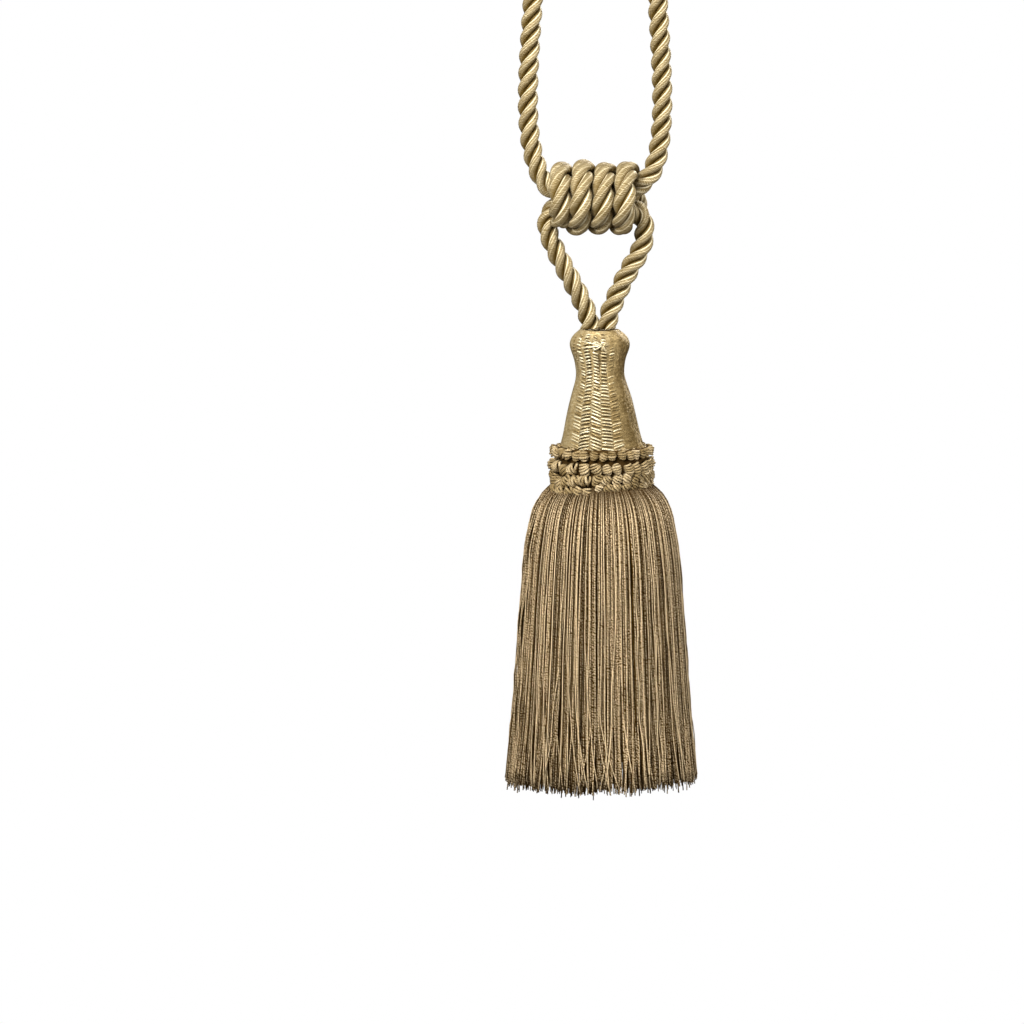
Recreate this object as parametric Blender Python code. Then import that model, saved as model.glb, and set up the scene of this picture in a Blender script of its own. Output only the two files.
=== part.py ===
"""Curtain tieback tassel: a twisted loop cord, its wound slide knot, a covered turned head, a knotted ruff and
a cut fringe skirt, hanging from the crown of the loop.

Metres, +Z up, front towards -Y. The origin is the point under the loop's crown where a hook bears.
"""

import math

import bmesh
import bpy
import numpy as np

# Driving dimensions, in metres.
CORD_DIAMETER = 0.0095          # the plain tube of the 10 mm twisted cord, one gap slimmer
HEAD_TOP_Z = -0.433             # the flat top of the head, where both ends of the cord go in
CORD_STEPS = 2                  # tube points for each stretch between two points of the route
CORD_BEVEL_RESOLUTION = 3

WINDING_PITCH = 0.0116          # from one turn of the slide knot to the next
WINDING_FIRST_X = 0.0134        # middle of the first turn where it passes the top
WINDING_SWAY = 0.00105          # the turns cross the front more steeply than the back
WINDING_RADIUS = 0.0151         # from the knot's axis to the middle of its cord
WINDING_CORD_RADIUS = 0.00485
WINDING_SHOULDER = 0.0034       # along the axis, from a turn's crest to its shoulder
WINDING_VALLEY_RADIUS = 0.0162
WINDING_BORE_RADIUS = 0.0104    # two runs of the loop cord pass through
WINDING_BORE_EDGE = 0.0010      # along the axis, from an open turn's crest to the edge of the bore
WINDING_HAUNCH = 0.0036         # and to the rounded haunch of its open side
WINDING_HAUNCH_RADIUS = 0.0119
WINDING_SEGMENTS = 30           # to one turn
WINDING_START = -11 / 30        # in turns from the top, over the front; the cord's first end is behind
WINDING_STEPS = 114             # segments in all: the last end is tucked behind the front's last turn
WINDING_SQUEEZE = 0.0104        # the last turn is pushed up against the others
WINDING_SQUEEZE_FROM = 3.0
WINDING_Z = -0.3628

HEAD_SEGMENTS = 32
HEAD_LEAN = 0.0016              # the head's top stands this far to the left of its base
HEAD_STRAIGHT_DROP = 0.0631     # from here down the head is upright

RUFF_INNER_RADIUS = 0.0229
RUFF_ROW_RADIUS = 0.0272        # to the hollows between knots
RUFF_KNOT_HEIGHT = 0.0013
RUFF_ROWS = 4
RUFF_ROW_PITCH = 0.0056
RUFF_TOP_DROP = 0.0622
RUFF_KNOTS = 27
RUFF_UNDER_RADIUS = 0.0266      # where the ruff's underside turns up over the skirt's shoulder
RUFF_UNDER_DROP = 0.0839
RUFF_FOOT_DROP = 0.0797

SKIRT_TUFTS = 30
SKIRT_SLIT_SHARE = 0.08         # of a tuft's width, left open at each of its sides
SKIRT_END_UNEVEN = 0.0022       # the cut ends stand this much higher or lower
SKIRT_SPREAD_UNEVEN = 0.0008    # and this much further in or out

# The loop cord's route: from the head's left seat up the left leg, through the slide knot to the right,
# up and round the crown, down and through the knot again, and down the right leg to the head.
LOOP_ROUTE = (
    # x, y, z
    (-0.0068, 0.0000, -0.4325),
    (-0.0070, 0.0000, -0.4282),
    (-0.0101, 0.0000, -0.4193),
    (-0.0178, 0.0000, -0.4043),
    (-0.0249, 0.0004, -0.3907),
    (-0.0288, 0.0017, -0.3809),
    (-0.0292, 0.0031, -0.3749),
    (-0.0264, 0.0041, -0.3694),
    (-0.0200, 0.0041, -0.3662),
    (-0.0070, 0.0052, -0.3638),
    (0.0059, 0.0036, -0.3595),
    (0.0142, 0.0014, -0.3583),
    (0.0216, 0.0000, -0.3545),
    (0.0271, 0.0000, -0.3470),
    (0.0304, 0.0000, -0.3333),
    (0.0317, 0.0000, -0.3117),
    (0.0290, 0.0000, -0.2551),
    (0.0194, 0.0000, -0.0773),
    (0.0159, 0.0000, -0.0093),
    (0.0113, 0.0000, 0.0003),
    (0.0000, 0.0000, 0.0050),
    (-0.0113, 0.0000, 0.0003),
    (-0.0159, 0.0000, -0.0093),
    (-0.0212, 0.0000, -0.0773),
    (-0.0368, 0.0000, -0.2551),
    (-0.0395, 0.0000, -0.3198),
    (-0.0373, 0.0000, -0.3376),
    (-0.0339, -0.0006, -0.3486),
    (-0.0291, -0.0022, -0.3562),
    (-0.0219, -0.0042, -0.3596),
    (-0.0096, -0.0052, -0.3628),
    (0.0032, -0.0038, -0.3662),
    (0.0128, -0.0024, -0.3675),
    (0.0188, -0.0016, -0.3700),
    (0.0221, -0.0005, -0.3769),
    (0.0211, 0.0000, -0.3883),
    (0.0156, 0.0000, -0.3988),
    (0.0083, 0.0000, -0.4133),
    (0.0031, 0.0000, -0.4275),
    (0.0029, 0.0000, -0.4325),
)

# The head's turned outline, from its flat top down to its base.
HEAD_SECTIONS = (
    # drop below the head's top, radius
    (0.0000, 0.0104),
    (0.0006, 0.0112),
    (0.0026, 0.0136),
    (0.0050, 0.0153),
    (0.0075, 0.0160),
    (0.0105, 0.0156),
    (0.0155, 0.0139),
    (0.0200, 0.0131),
    (0.0240, 0.01295),
    (0.0290, 0.0140),
    (0.0356, 0.0160),
    (0.0435, 0.0180),
    (0.0517, 0.0197),
    (0.0580, 0.0212),
    (0.0631, 0.0224),
    (0.0660, 0.0226),
    (0.0730, 0.0226),
    (0.0730, 0.0140),
    (0.0900, 0.0140),
)

# The skirt: its heading grips the head's spigot, its shoulder spreads under the ruff, and below the last
# row of the band the threads part into tufts.
SKIRT_BAND = (
    # drop below the head's top, outer radius, inner radius
    (0.0733, 0.0215, 0.0144),
    (0.0800, 0.0226, 0.0144),
    (0.0850, 0.0262, 0.0144),
    (0.0886, 0.0310, 0.0146),
    (0.0918, 0.0338, 0.0180),
    (0.0975, 0.0366, 0.0250),
    (0.1070, 0.0389, 0.0292),
    (0.1180, 0.0407, 0.0315),
)
SKIRT_TUFT_ROWS = (
    # drop below the head's top, outer radius, inner radius
    (0.1360, 0.0423, 0.0335),
    (0.1600, 0.0441, 0.0353),
    (0.1860, 0.0459, 0.0370),
    (0.2140, 0.0482, 0.0390),
    (0.2440, 0.0512, 0.0417),
)

# Base colours of the yarn, as linear red, green and blue.
CORD_GOLD = (0.47, 0.37, 0.19)
HEAD_GOLD = (0.60, 0.49, 0.28)
RUFF_GOLD = (0.33, 0.25, 0.12)
SKIRT_GOLD = (0.36, 0.27, 0.14)
YARN_ROUGHNESS = 0.45


def remove_old_objects():
    """Empty the scene of its objects."""
    for old in list(bpy.data.objects):
        bpy.data.objects.remove(old, do_unlink=True)


def yarn_material(name, colour):
    """A matt to satin yarn of one colour."""
    material = bpy.data.materials.new(name)
    material.use_nodes = True
    shader = material.node_tree.nodes["Principled BSDF"]
    shader.inputs["Base Color"].default_value = (*colour, 1.0)
    shader.inputs["Roughness"].default_value = YARN_ROUGHNESS
    shader.inputs["Metallic"].default_value = 0.0
    return material


def place(name, data, colour):
    """Link a named object for the data, with its own material."""
    piece = bpy.data.objects.new(name, data)
    bpy.context.scene.collection.objects.link(piece)
    data.materials.append(yarn_material(name + "_yarn", colour))
    return piece


def mesh_from(name, build, colour):
    """Run build on an empty bmesh, turn its faces outwards and place it as a smooth-shaded object."""
    shape = bmesh.new()
    build(shape)
    bmesh.ops.recalc_face_normals(shape, faces=shape.faces)
    data = bpy.data.meshes.new(name)
    shape.to_mesh(data)
    shape.free()
    data.shade_smooth()
    return place(name, data, colour)


def smooth_curve(points, steps):
    """Points on the natural cubic spline through the given ones, steps of them for each stretch.

    Each stretch's length in the spline's own measure is the square root of its chord, which keeps short
    stretches round beside long ones.
    """
    points = np.array(points)
    stretch = np.sqrt(np.linalg.norm(np.diff(points, axis=0), axis=1))
    count = len(points)
    system = np.eye(count)
    bend = np.zeros((count, 3))
    for i in range(1, count - 1):
        system[i, i - 1:i + 2] = (stretch[i - 1], 2.0 * (stretch[i - 1] + stretch[i]), stretch[i])
        after = (points[i + 1] - points[i]) / stretch[i]
        before = (points[i] - points[i - 1]) / stretch[i - 1]
        bend[i] = 6.0 * (after - before)
    second = np.linalg.solve(system, bend)
    curve = []
    for i in range(count - 1):
        for share in np.arange(steps) / steps:
            back = 1.0 - share
            straight = back * points[i] + share * points[i + 1]
            curved = (back ** 3 - back) * second[i] + (share ** 3 - share) * second[i + 1]
            curve.append(straight + curved * stretch[i] ** 2 / 6.0)
    curve.append(points[-1])
    return curve


def loop_cord():
    """The loop cord as a plain round tube along its route, with flat ends."""
    data = bpy.data.curves.new("loop_cord", "CURVE")
    data.dimensions = "3D"
    data.bevel_depth = CORD_DIAMETER / 2.0
    data.bevel_resolution = CORD_BEVEL_RESOLUTION
    data.use_fill_caps = True
    points = smooth_curve(LOOP_ROUTE, CORD_STEPS)
    spline = data.splines.new("POLY")
    spline.points.add(len(points) - 1)
    for point, at in zip(spline.points, points):
        point.co = (*at, 1.0)
    return place("loop_cord", data, CORD_GOLD)


def around(radius, angle, drop, lean=0.0):
    """The place at an angle round the tassel's axis, a drop below the head's top."""
    return (lean + radius * math.cos(angle), radius * math.sin(angle), HEAD_TOP_Z - drop)


def ring(shape, places):
    """New vertices at the places."""
    return [shape.verts.new(place_) for place_ in places]


def join_rings(shape, first, second, closed=True):
    """Faces between two rows of vertices of the same length."""
    count = len(first)
    for i in range(count if closed else count - 1):
        j = (i + 1) % count
        shape.faces.new((first[i], first[j], second[j], second[i]))


def winding_middle_x(turn):
    """Where the slide knot's cord is along the knot's axis, after so many turns from the top."""
    sway = WINDING_SWAY * (1.0 - math.cos(2.0 * math.pi * turn))
    squeeze = WINDING_SQUEEZE * max(0.0, turn - WINDING_SQUEEZE_FROM) ** 2
    return WINDING_FIRST_X - WINDING_PITCH * turn + sway + squeeze


def winding_place(turn, x, radius):
    """The place at x and a radius from the knot's axis; a turn runs from the top over the front."""
    angle = 2.0 * math.pi * turn
    return (x, -radius * math.sin(angle), WINDING_Z + radius * math.cos(angle))


def winding_crest(turn):
    """The outer side of one turn's cord, from its shoulder over its crest to its other shoulder."""
    middle = winding_middle_x(turn)
    shoulder_radius = WINDING_RADIUS + math.sqrt(WINDING_CORD_RADIUS ** 2 - WINDING_SHOULDER ** 2)
    return [
        winding_place(turn, middle + WINDING_SHOULDER, shoulder_radius),
        winding_place(turn, middle, WINDING_RADIUS + WINDING_CORD_RADIUS),
        winding_place(turn, middle - WINDING_SHOULDER, shoulder_radius),
    ]


def winding_side(turn, side):
    """A turn's open side, rounded from the cord's middle down to the bore; side is 1 or -1 along the axis."""
    middle = winding_middle_x(turn)
    return [
        winding_place(turn, middle + side * WINDING_CORD_RADIUS, WINDING_RADIUS),
        winding_place(turn, middle + side * WINDING_HAUNCH, WINDING_HAUNCH_RADIUS),
        winding_place(turn, middle + side * WINDING_BORE_EDGE, WINDING_BORE_RADIUS),
    ]


def winding_joint(turn):
    """Where a turn meets the next one: the valley outside, and the bore inside."""
    joint = (winding_middle_x(turn) + winding_middle_x(turn + 1.0)) / 2.0
    radii = (WINDING_VALLEY_RADIUS, WINDING_HAUNCH_RADIUS, WINDING_BORE_RADIUS)
    return [winding_place(turn, joint, radius) for radius in radii]


def slide_knot(shape):
    """The wound turns of the slide knot as one solid of their outer form, round a bore.

    Its rows run along the turns. A turn's far side is the next turn's near side, one turn further on, and
    only the first and the last turn have an open side. Both ends of the cord close with a flat face.
    """
    steps = WINDING_STEPS
    near, crests, far = [], [], []
    for i in range(steps + 1):
        turn = WINDING_START + i / WINDING_SEGMENTS
        crests.append(ring(shape, winding_crest(turn)))
        near.append(far[i - WINDING_SEGMENTS] if i >= WINDING_SEGMENTS else ring(shape, winding_side(turn, 1)))
        joined = i + WINDING_SEGMENTS <= steps
        far.append(ring(shape, winding_joint(turn) if joined else winding_side(turn, -1)))
    for i in range(steps):
        here = [near[i][0], *crests[i], far[i][0]]
        ahead = [near[i + 1][0], *crests[i + 1], far[i + 1][0]]
        join_rings(shape, here, ahead, closed=False)
        join_rings(shape, [near[i][-1], far[i][-1]], [near[i + 1][-1], far[i + 1][-1]], closed=False)
        if i < WINDING_SEGMENTS:
            join_rings(shape, near[i], near[i + 1], closed=False)
        if i >= steps - WINDING_SEGMENTS:
            join_rings(shape, far[i], far[i + 1], closed=False)
    for i in (0, steps):
        shape.faces.new((*reversed(near[i]), *crests[i], *far[i]))
    unused = [vertex for vertex in shape.verts if not vertex.link_faces]
    bmesh.ops.delete(shape, geom=unused, context="VERTS")


def tassel_head(shape):
    """The turned head with its flat top, its leaning neck, and the spigot that the skirt is bound to."""
    rows = []
    for drop, radius in HEAD_SECTIONS:
        lean = -HEAD_LEAN * max(0.0, 1.0 - drop / HEAD_STRAIGHT_DROP)
        angles = [2.0 * math.pi * i / HEAD_SEGMENTS for i in range(HEAD_SEGMENTS)]
        rows.append(ring(shape, [around(radius, angle, drop, lean) for angle in angles]))
    for upper, lower in zip(rows, rows[1:]):
        join_rings(shape, upper, lower)
    shape.faces.new(rows[0])
    shape.faces.new(rows[-1])


def ruff(shape):
    """The ruff: a ring of knots in staggered rows, flat against the head and turned up under its lip."""
    count = 2 * RUFF_KNOTS
    rows = [[(RUFF_INNER_RADIUS, RUFF_TOP_DROP)] * count]
    for half_row in range(2 * RUFF_ROWS + 1):
        drop = RUFF_TOP_DROP + half_row * RUFF_ROW_PITCH / 2.0
        row = []
        for i in range(count):
            on_knot = half_row % 2 == 1 and (i + half_row // 2) % 2 == 0
            row.append((RUFF_ROW_RADIUS + RUFF_KNOT_HEIGHT * on_knot, drop))
        rows.append(row)
    rows.append([(RUFF_UNDER_RADIUS, RUFF_UNDER_DROP)] * count)
    rows.append([(RUFF_INNER_RADIUS, RUFF_FOOT_DROP)] * count)
    step = 2.0 * math.pi / count
    rings = [ring(shape, [around(r, i * step, drop) for i, (r, drop) in enumerate(row)]) for row in rows]
    for upper, lower in zip(rings, rings[1:] + rings[:1]):
        join_rings(shape, upper, lower)


def skirt_angles():
    """The angle of each tuft's two edges, in order round the skirt."""
    width = 2.0 * math.pi / SKIRT_TUFTS
    angles = []
    for i in range(SKIRT_TUFTS):
        angles += [(i + SKIRT_SLIT_SHARE) * width, (i + 1.0 - SKIRT_SLIT_SHARE) * width]
    return angles


def skirt_rows(shape):
    """Outer and inner rings for each section; towards the cut ends the tufts grow uneven."""
    sections = SKIRT_BAND + SKIRT_TUFT_ROWS
    start = SKIRT_BAND[-1][0]
    end = SKIRT_TUFT_ROWS[-1][0]
    rows = []
    for drop, outer_radius, inner_radius in sections:
        loose = max(0.0, (drop - start) / (end - start)) ** 2
        outer = []
        inner = []
        for edge, angle in enumerate(skirt_angles()):
            tuft = edge // 2
            longer = SKIRT_END_UNEVEN * math.sin(2.4 * tuft) * loose
            wider = SKIRT_SPREAD_UNEVEN * math.sin(4.1 * tuft) * loose
            outer.append(around(outer_radius + wider, angle, drop + longer))
            inner.append(around(inner_radius + wider, angle, drop + longer))
        rows.append((ring(shape, outer), ring(shape, inner)))
    return rows


def skirt(shape):
    """The cut fringe as one comb: a closed band at the top that parts into hanging tufts."""
    rows = skirt_rows(shape)
    top_outer, top_inner = rows[0]
    join_rings(shape, top_outer, top_inner)
    band = len(SKIRT_BAND)
    for upper, lower in zip(rows[:band], rows[1:band]):
        join_rings(shape, upper[0], lower[0])
        join_rings(shape, upper[1], lower[1])
    count = 2 * SKIRT_TUFTS
    for left in range(0, count, 2):
        right = left + 1
        slit = (left + 2) % count
        outer, inner = rows[band - 1]
        shape.faces.new((outer[right], outer[slit], inner[slit], inner[right]))
        for upper, lower in zip(rows[band - 1:], rows[band:]):
            for side in range(2):
                shape.faces.new((upper[side][left], upper[side][right], lower[side][right], lower[side][left]))
            for edge in (left, right):
                shape.faces.new((upper[0][edge], upper[1][edge], lower[1][edge], lower[0][edge]))
        outer, inner = rows[-1]
        shape.faces.new((outer[left], outer[right], inner[right], inner[left]))


def main():
    """Build the five pieces of the tieback."""
    remove_old_objects()
    loop_cord()
    mesh_from("slide_knot", slide_knot, CORD_GOLD)
    mesh_from("head", tassel_head, HEAD_GOLD)
    mesh_from("ruff", ruff, RUFF_GOLD)
    mesh_from("skirt", skirt, SKIRT_GOLD)


main()
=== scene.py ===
"""Curtain tieback tassel: the looks of its cord, slide knot, covered head, knotted ruff and fringe skirt.

Metres, +Z up, front towards -Y. The origin is the point under the loop's crown where a hook bears, and the
tassel hangs round the line X = Y = 0. Drops are measured down from the head's flat top.
"""

import math

import bpy
import numpy as np
from bpy.props import FloatProperty, FloatVectorProperty, IntProperty, PointerProperty
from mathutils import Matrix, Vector


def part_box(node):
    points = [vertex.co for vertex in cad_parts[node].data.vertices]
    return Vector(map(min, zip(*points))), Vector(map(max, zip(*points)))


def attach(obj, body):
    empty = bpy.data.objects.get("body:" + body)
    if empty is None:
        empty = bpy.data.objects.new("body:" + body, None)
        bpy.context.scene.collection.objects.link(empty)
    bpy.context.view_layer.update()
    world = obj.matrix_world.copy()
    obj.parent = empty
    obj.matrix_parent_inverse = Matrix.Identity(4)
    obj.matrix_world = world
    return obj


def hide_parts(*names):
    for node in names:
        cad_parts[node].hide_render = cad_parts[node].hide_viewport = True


bl_info = {
    "name": "Tieback tassel",
    "version": (1, 0, 0),
    "blender": (4, 5, 0),
    "location": "3D View > Sidebar > Tieback",
    "description": "Builds the yarns of a curtain tieback tassel round its plain solids",
    "category": "Add Mesh",
}

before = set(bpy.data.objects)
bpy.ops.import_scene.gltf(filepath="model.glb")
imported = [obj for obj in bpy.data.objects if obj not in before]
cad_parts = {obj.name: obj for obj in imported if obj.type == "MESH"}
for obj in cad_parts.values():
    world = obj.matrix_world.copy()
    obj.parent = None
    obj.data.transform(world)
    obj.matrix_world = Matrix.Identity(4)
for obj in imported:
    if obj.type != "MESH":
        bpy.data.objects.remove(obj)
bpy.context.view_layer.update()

HEAD_TOP_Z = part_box("head")[1].z
TAU = 2.0 * math.pi
LOWEST_PLACE = -10.0  # the least coordinate that the settings take

# The loop cord's route: from the head's left seat up the left leg, through the slide knot to the right,
# up and round the crown, down and through the knot again, and down the right leg to the head.
LOOP_ROUTE = (
    # x, y, z
    (-0.0068, 0.0000, -0.4325),
    (-0.0070, 0.0000, -0.4282),
    (-0.0101, 0.0000, -0.4193),
    (-0.0178, 0.0000, -0.4043),
    (-0.0249, 0.0004, -0.3907),
    (-0.0288, 0.0017, -0.3809),
    (-0.0292, 0.0031, -0.3749),
    (-0.0264, 0.0041, -0.3694),
    (-0.0200, 0.0041, -0.3662),
    (-0.0070, 0.0052, -0.3638),
    (0.0059, 0.0036, -0.3595),
    (0.0142, 0.0014, -0.3583),
    (0.0216, 0.0000, -0.3545),
    (0.0271, 0.0000, -0.3470),
    (0.0304, 0.0000, -0.3333),
    (0.0317, 0.0000, -0.3117),
    (0.0290, 0.0000, -0.2551),
    (0.0194, 0.0000, -0.0773),
    (0.0159, 0.0000, -0.0093),
    (0.0113, 0.0000, 0.0003),
    (0.0000, 0.0000, 0.0050),
    (-0.0113, 0.0000, 0.0003),
    (-0.0159, 0.0000, -0.0093),
    (-0.0212, 0.0000, -0.0773),
    (-0.0368, 0.0000, -0.2551),
    (-0.0395, 0.0000, -0.3198),
    (-0.0373, 0.0000, -0.3376),
    (-0.0339, -0.0006, -0.3486),
    (-0.0291, -0.0022, -0.3562),
    (-0.0219, -0.0042, -0.3596),
    (-0.0096, -0.0052, -0.3628),
    (0.0032, -0.0038, -0.3662),
    (0.0128, -0.0024, -0.3675),
    (0.0188, -0.0016, -0.3700),
    (0.0221, -0.0005, -0.3769),
    (0.0211, 0.0000, -0.3883),
    (0.0156, 0.0000, -0.3988),
    (0.0083, 0.0000, -0.4133),
    (0.0031, 0.0000, -0.4275),
    (0.0029, 0.0000, -0.4325),
)

# The slide knot's cord: how far its middle is from the knot's axis, after so many turns from the top.
WINDING_RADII = (
    # turns, radius
    (-0.42, 0.0140),
    (-0.30, 0.0150),
    (0.00, 0.0153),
    (0.50, 0.0153),
    (1.00, 0.0147),
    (1.50, 0.0147),
    (2.00, 0.0160),
    (2.50, 0.0152),
    (3.00, 0.0147),
    (3.30, 0.0138),
    (3.50, 0.0118),
)
WINDING_Z = -0.3628
WINDING_PITCH = 0.0116
WINDING_FIRST_X = 0.0134
WINDING_SWAY = 0.00105
WINDING_SQUEEZE = 0.0104
WINDING_SQUEEZE_FROM = 3.0

# The fringe's outer outline and how thick the hanging threads are there.
SKIRT_OUTLINE = (
    # drop, radius, thickness
    (0.0790, 0.0226, 0.0040),
    (0.0812, 0.0246, 0.0050),
    (0.0845, 0.0281, 0.0075),
    (0.0889, 0.0324, 0.0100),
    (0.0970, 0.0363, 0.0110),
    (0.1067, 0.0387, 0.0100),
    (0.1180, 0.0406, 0.0093),
    (0.1353, 0.0422, 0.0088),
    (0.1563, 0.0438, 0.0088),
    (0.1757, 0.0452, 0.0088),
    (0.1935, 0.0464, 0.0090),
    (0.2140, 0.0481, 0.0093),
    (0.2345, 0.0500, 0.0095),
    (0.2440, 0.0508, 0.0095),
)

# The ruff's rows of knots from the top down, and last a small row that fills the gap behind the first.
RUFF_ROWS = (
    # drop, knots, wraps in a knot, knot height, bulge, slant in degrees, sag on the left of the front, inset
    (0.0644, 33, 4, 0.0050, 0.0030, 10.0, 0.0004, 0.0),
    (0.0716, 27, 5, 0.0070, 0.0038, -14.0, 0.0008, 0.0),
    (0.0773, 29, 5, 0.0070, 0.0034, 36.0, 0.0018, 0.0),
    (0.0818, 31, 4, 0.0054, 0.0028, 40.0, 0.0024, 0.0),
    (0.0638, 34, 3, 0.0030, 0.0014, 20.0, 0.0, 0.0026),
)


def colour(name, description, default):
    """A yarn colour that a user may change."""
    return FloatVectorProperty(
        name=name, description=description, default=default, size=3, min=0.0, max=1.0, subtype="COLOR"
    )


def length(name, description, default, least=0.0):
    """A size or place in metres that a user may change."""
    return FloatProperty(
        name=name, description=description, default=default, min=least, precision=5, unit="LENGTH"
    )


class TiebackCordSettings(bpy.types.PropertyGroup):
    """Sizes and colours of the twisted cord."""

    lay: length("Lay", "Length of cord in which a strand goes once round", 0.027)
    strand_offset: length("Strand offset", "From the middle of the cord to the middle of a strand", 0.00291)
    strand_rise: length("Strand rise", "Radius of a strand away from the cord's middle", 0.00263)
    strand_spread: length("Strand spread", "Radius of a strand along the cord's surface", 0.00272)
    step: length("Step", "From one ring of the mesh to the next", 0.0012)
    filament: length("Filament pitch", "From one turn of the satin filament to the next", 0.00070)
    mottle: length("Mottle", "Width of the lighter and darker turns of the filament", 0.0011)
    knot_width: FloatProperty(
        name="Knot width", description="How much wider the cord lies in the slide knot", default=1.09
    )
    knot_thickness: FloatProperty(
        name="Knot thickness", description="How much flatter the cord lies in the slide knot", default=0.90
    )
    knot_lay: length("Knot lay", "Length in which a strand goes once round in the slide knot", 0.0364)
    # The deep colour is that of the painted shade in the creases, and of the darkest streaks.
    deep: colour("Deep colour", "Yarn in the creases between strands", (0.100, 0.060, 0.010))
    middle: colour("Middle colour", "Most of the yarn", (0.200, 0.144, 0.062))
    # The light colour is also that of the painted highlight lines along the strands.
    light: colour("Light colour", "The lightest turns of filament", (0.80, 0.70, 0.47))


class TiebackHeadSettings(bpy.types.PropertyGroup):
    """Sizes and colours of the head's stitched cover."""

    wales: IntProperty(name="Columns", description="Columns of stitches round the head", default=21, min=6)
    stitch: length("Stitch height", "From one row of stitches to the next", 0.0018)
    thread: length("Thread radius", "Half the thickness of a stitch", 0.00053)
    filament: length("Filament pitch", "From one filament of a stitch to the next", 0.00045)
    # The deep colour is that of the painted shade between the stitches, and of the darkest streaks.
    deep: colour("Deep colour", "Yarn between the stitches", (0.080, 0.046, 0.010))
    middle: colour("Middle colour", "Most of the yarn", (0.43, 0.318, 0.148))
    # The light colour also carries the painted highlight on the stitches of the front and back.
    light: colour("Light colour", "The lightest stitches", (0.98, 0.89, 0.62))


class TiebackRuffSettings(bpy.types.PropertyGroup):
    """Sizes and colours of the knotted ruff."""

    base_radius: length("Base radius", "The ruff's base that the knots sit on", 0.0250)
    thread: length("Thread radius", "Half the thickness of the ruff's thread", 0.00064)
    # The deep colour is that of the painted shade on the base, between the knots and at the wraps' ends.
    deep: colour("Deep colour", "Yarn between the knots", (0.045, 0.024, 0.006))
    middle: colour("Middle colour", "Most of the yarn", (0.34, 0.242, 0.108))
    light: colour("Light colour", "The lightest wraps", (0.86, 0.71, 0.47))


class TiebackSkirtSettings(bpy.types.PropertyGroup):
    """Sizes and colours of the fringe skirt."""

    thread: length("Thread radius", "Half the thickness of a fringe thread", 0.00031)
    end_uneven: length("Uneven ends", "How much the cut ends differ", 0.0018)
    twist: length("Twist pitch", "From one turn of a thread's twist to the next", 0.0014)
    # The deep colour is that of the painted shade deep in the fringe and under the ruff.
    deep: colour("Deep colour", "Threads deep in the fringe", (0.036, 0.017, 0.002))
    middle: colour("Middle colour", "Most of the threads", (0.132, 0.068, 0.013))
    # The light colour also carries the painted light on the front layer of threads.
    light: colour("Light colour", "The lightest threads", (0.87, 0.67, 0.41))


class TiebackStageSettings(bpy.types.PropertyGroup):
    """Floor, lights and camera."""

    picture_width: length("Picture width", "Width in view at the tassel", 0.5478)
    aim_x: length("Aim X", "Middle of the picture", -0.04815, LOWEST_PLACE)
    aim_z: length("Aim Z", "Middle of the picture", -0.5311, LOWEST_PLACE)
    camera_distance: length("Camera distance", "From the camera to the tassel", 4.0)
    elevation: FloatProperty(
        name="Elevation", description="Camera above the horizon", default=math.radians(7.0), subtype="ANGLE"
    )
    floor_z: length("Floor", "Height of the floor", -1.25, LOWEST_PLACE)
    paper: colour("Paper", "Colour of the floor", (0.93, 0.93, 0.93))


# Geometry helpers.


def unit(vectors):
    """Vectors of length one with the same directions."""
    return vectors / np.linalg.norm(vectors, axis=-1, keepdims=True)


def wrapped(angle):
    """The same angle, between half a turn back and half a turn ahead."""
    return (angle + math.pi) % TAU - math.pi


def plateau(away, reach):
    """1 near the middle, falling to 0 past the reach: e to minus the fourth power of away over reach."""
    return np.exp(-(away / reach) ** 4)


def column(table, index):
    """One column of a table, as an array."""
    return np.array([row[index] for row in table])


def natural_spline(points, per_stretch=24):
    """Points on the natural cubic spline through the given ones.

    Between two points the curve is the straight line plus, for each end, the cube of the share of the way
    minus that share, times a sixth of the second derivative there. The derivatives solve the usual system in
    which neighbouring stretches meet with one slope. A stretch counts with the square root of its chord.
    """
    points = np.asarray(points, float)
    gaps = np.sqrt(np.linalg.norm(np.diff(points, axis=0), axis=1))
    inner = np.arange(1, len(points) - 1)
    system = np.eye(len(points))
    system[inner, inner - 1] = gaps[:-1]
    system[inner, inner] = 2.0 * (gaps[:-1] + gaps[1:])
    system[inner, inner + 1] = gaps[1:]
    turns = np.zeros_like(points)
    turns[1:-1] = 6.0 * np.diff(np.diff(points, axis=0) / gaps[:, None], axis=0)
    second = np.linalg.solve(system, turns)
    at = np.linspace(0.0, len(gaps), per_stretch * len(gaps) + 1)
    i = np.minimum(at.astype(int), len(gaps) - 1)
    share = (at - i)[:, None]
    back = 1.0 - share
    straight = back * points[i] + share * points[i + 1]
    curved = (back ** 3 - back) * second[i] + (share ** 3 - share) * second[i + 1]
    return straight + curved * gaps[i][:, None] ** 2 / 6.0


def along(points):
    """How far each point of a line is from its first one, along the line."""
    return np.concatenate([[0.0], np.cumsum(np.linalg.norm(np.diff(points, axis=0), axis=1))])


def evenly(points, step):
    """The line again with points about a step apart."""
    run = along(points)
    at = np.linspace(0.0, run[-1], max(2, round(run[-1] / step) + 1))
    return np.stack([np.interp(at, run, points[:, k]) for k in range(points.shape[1])], axis=1)


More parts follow.
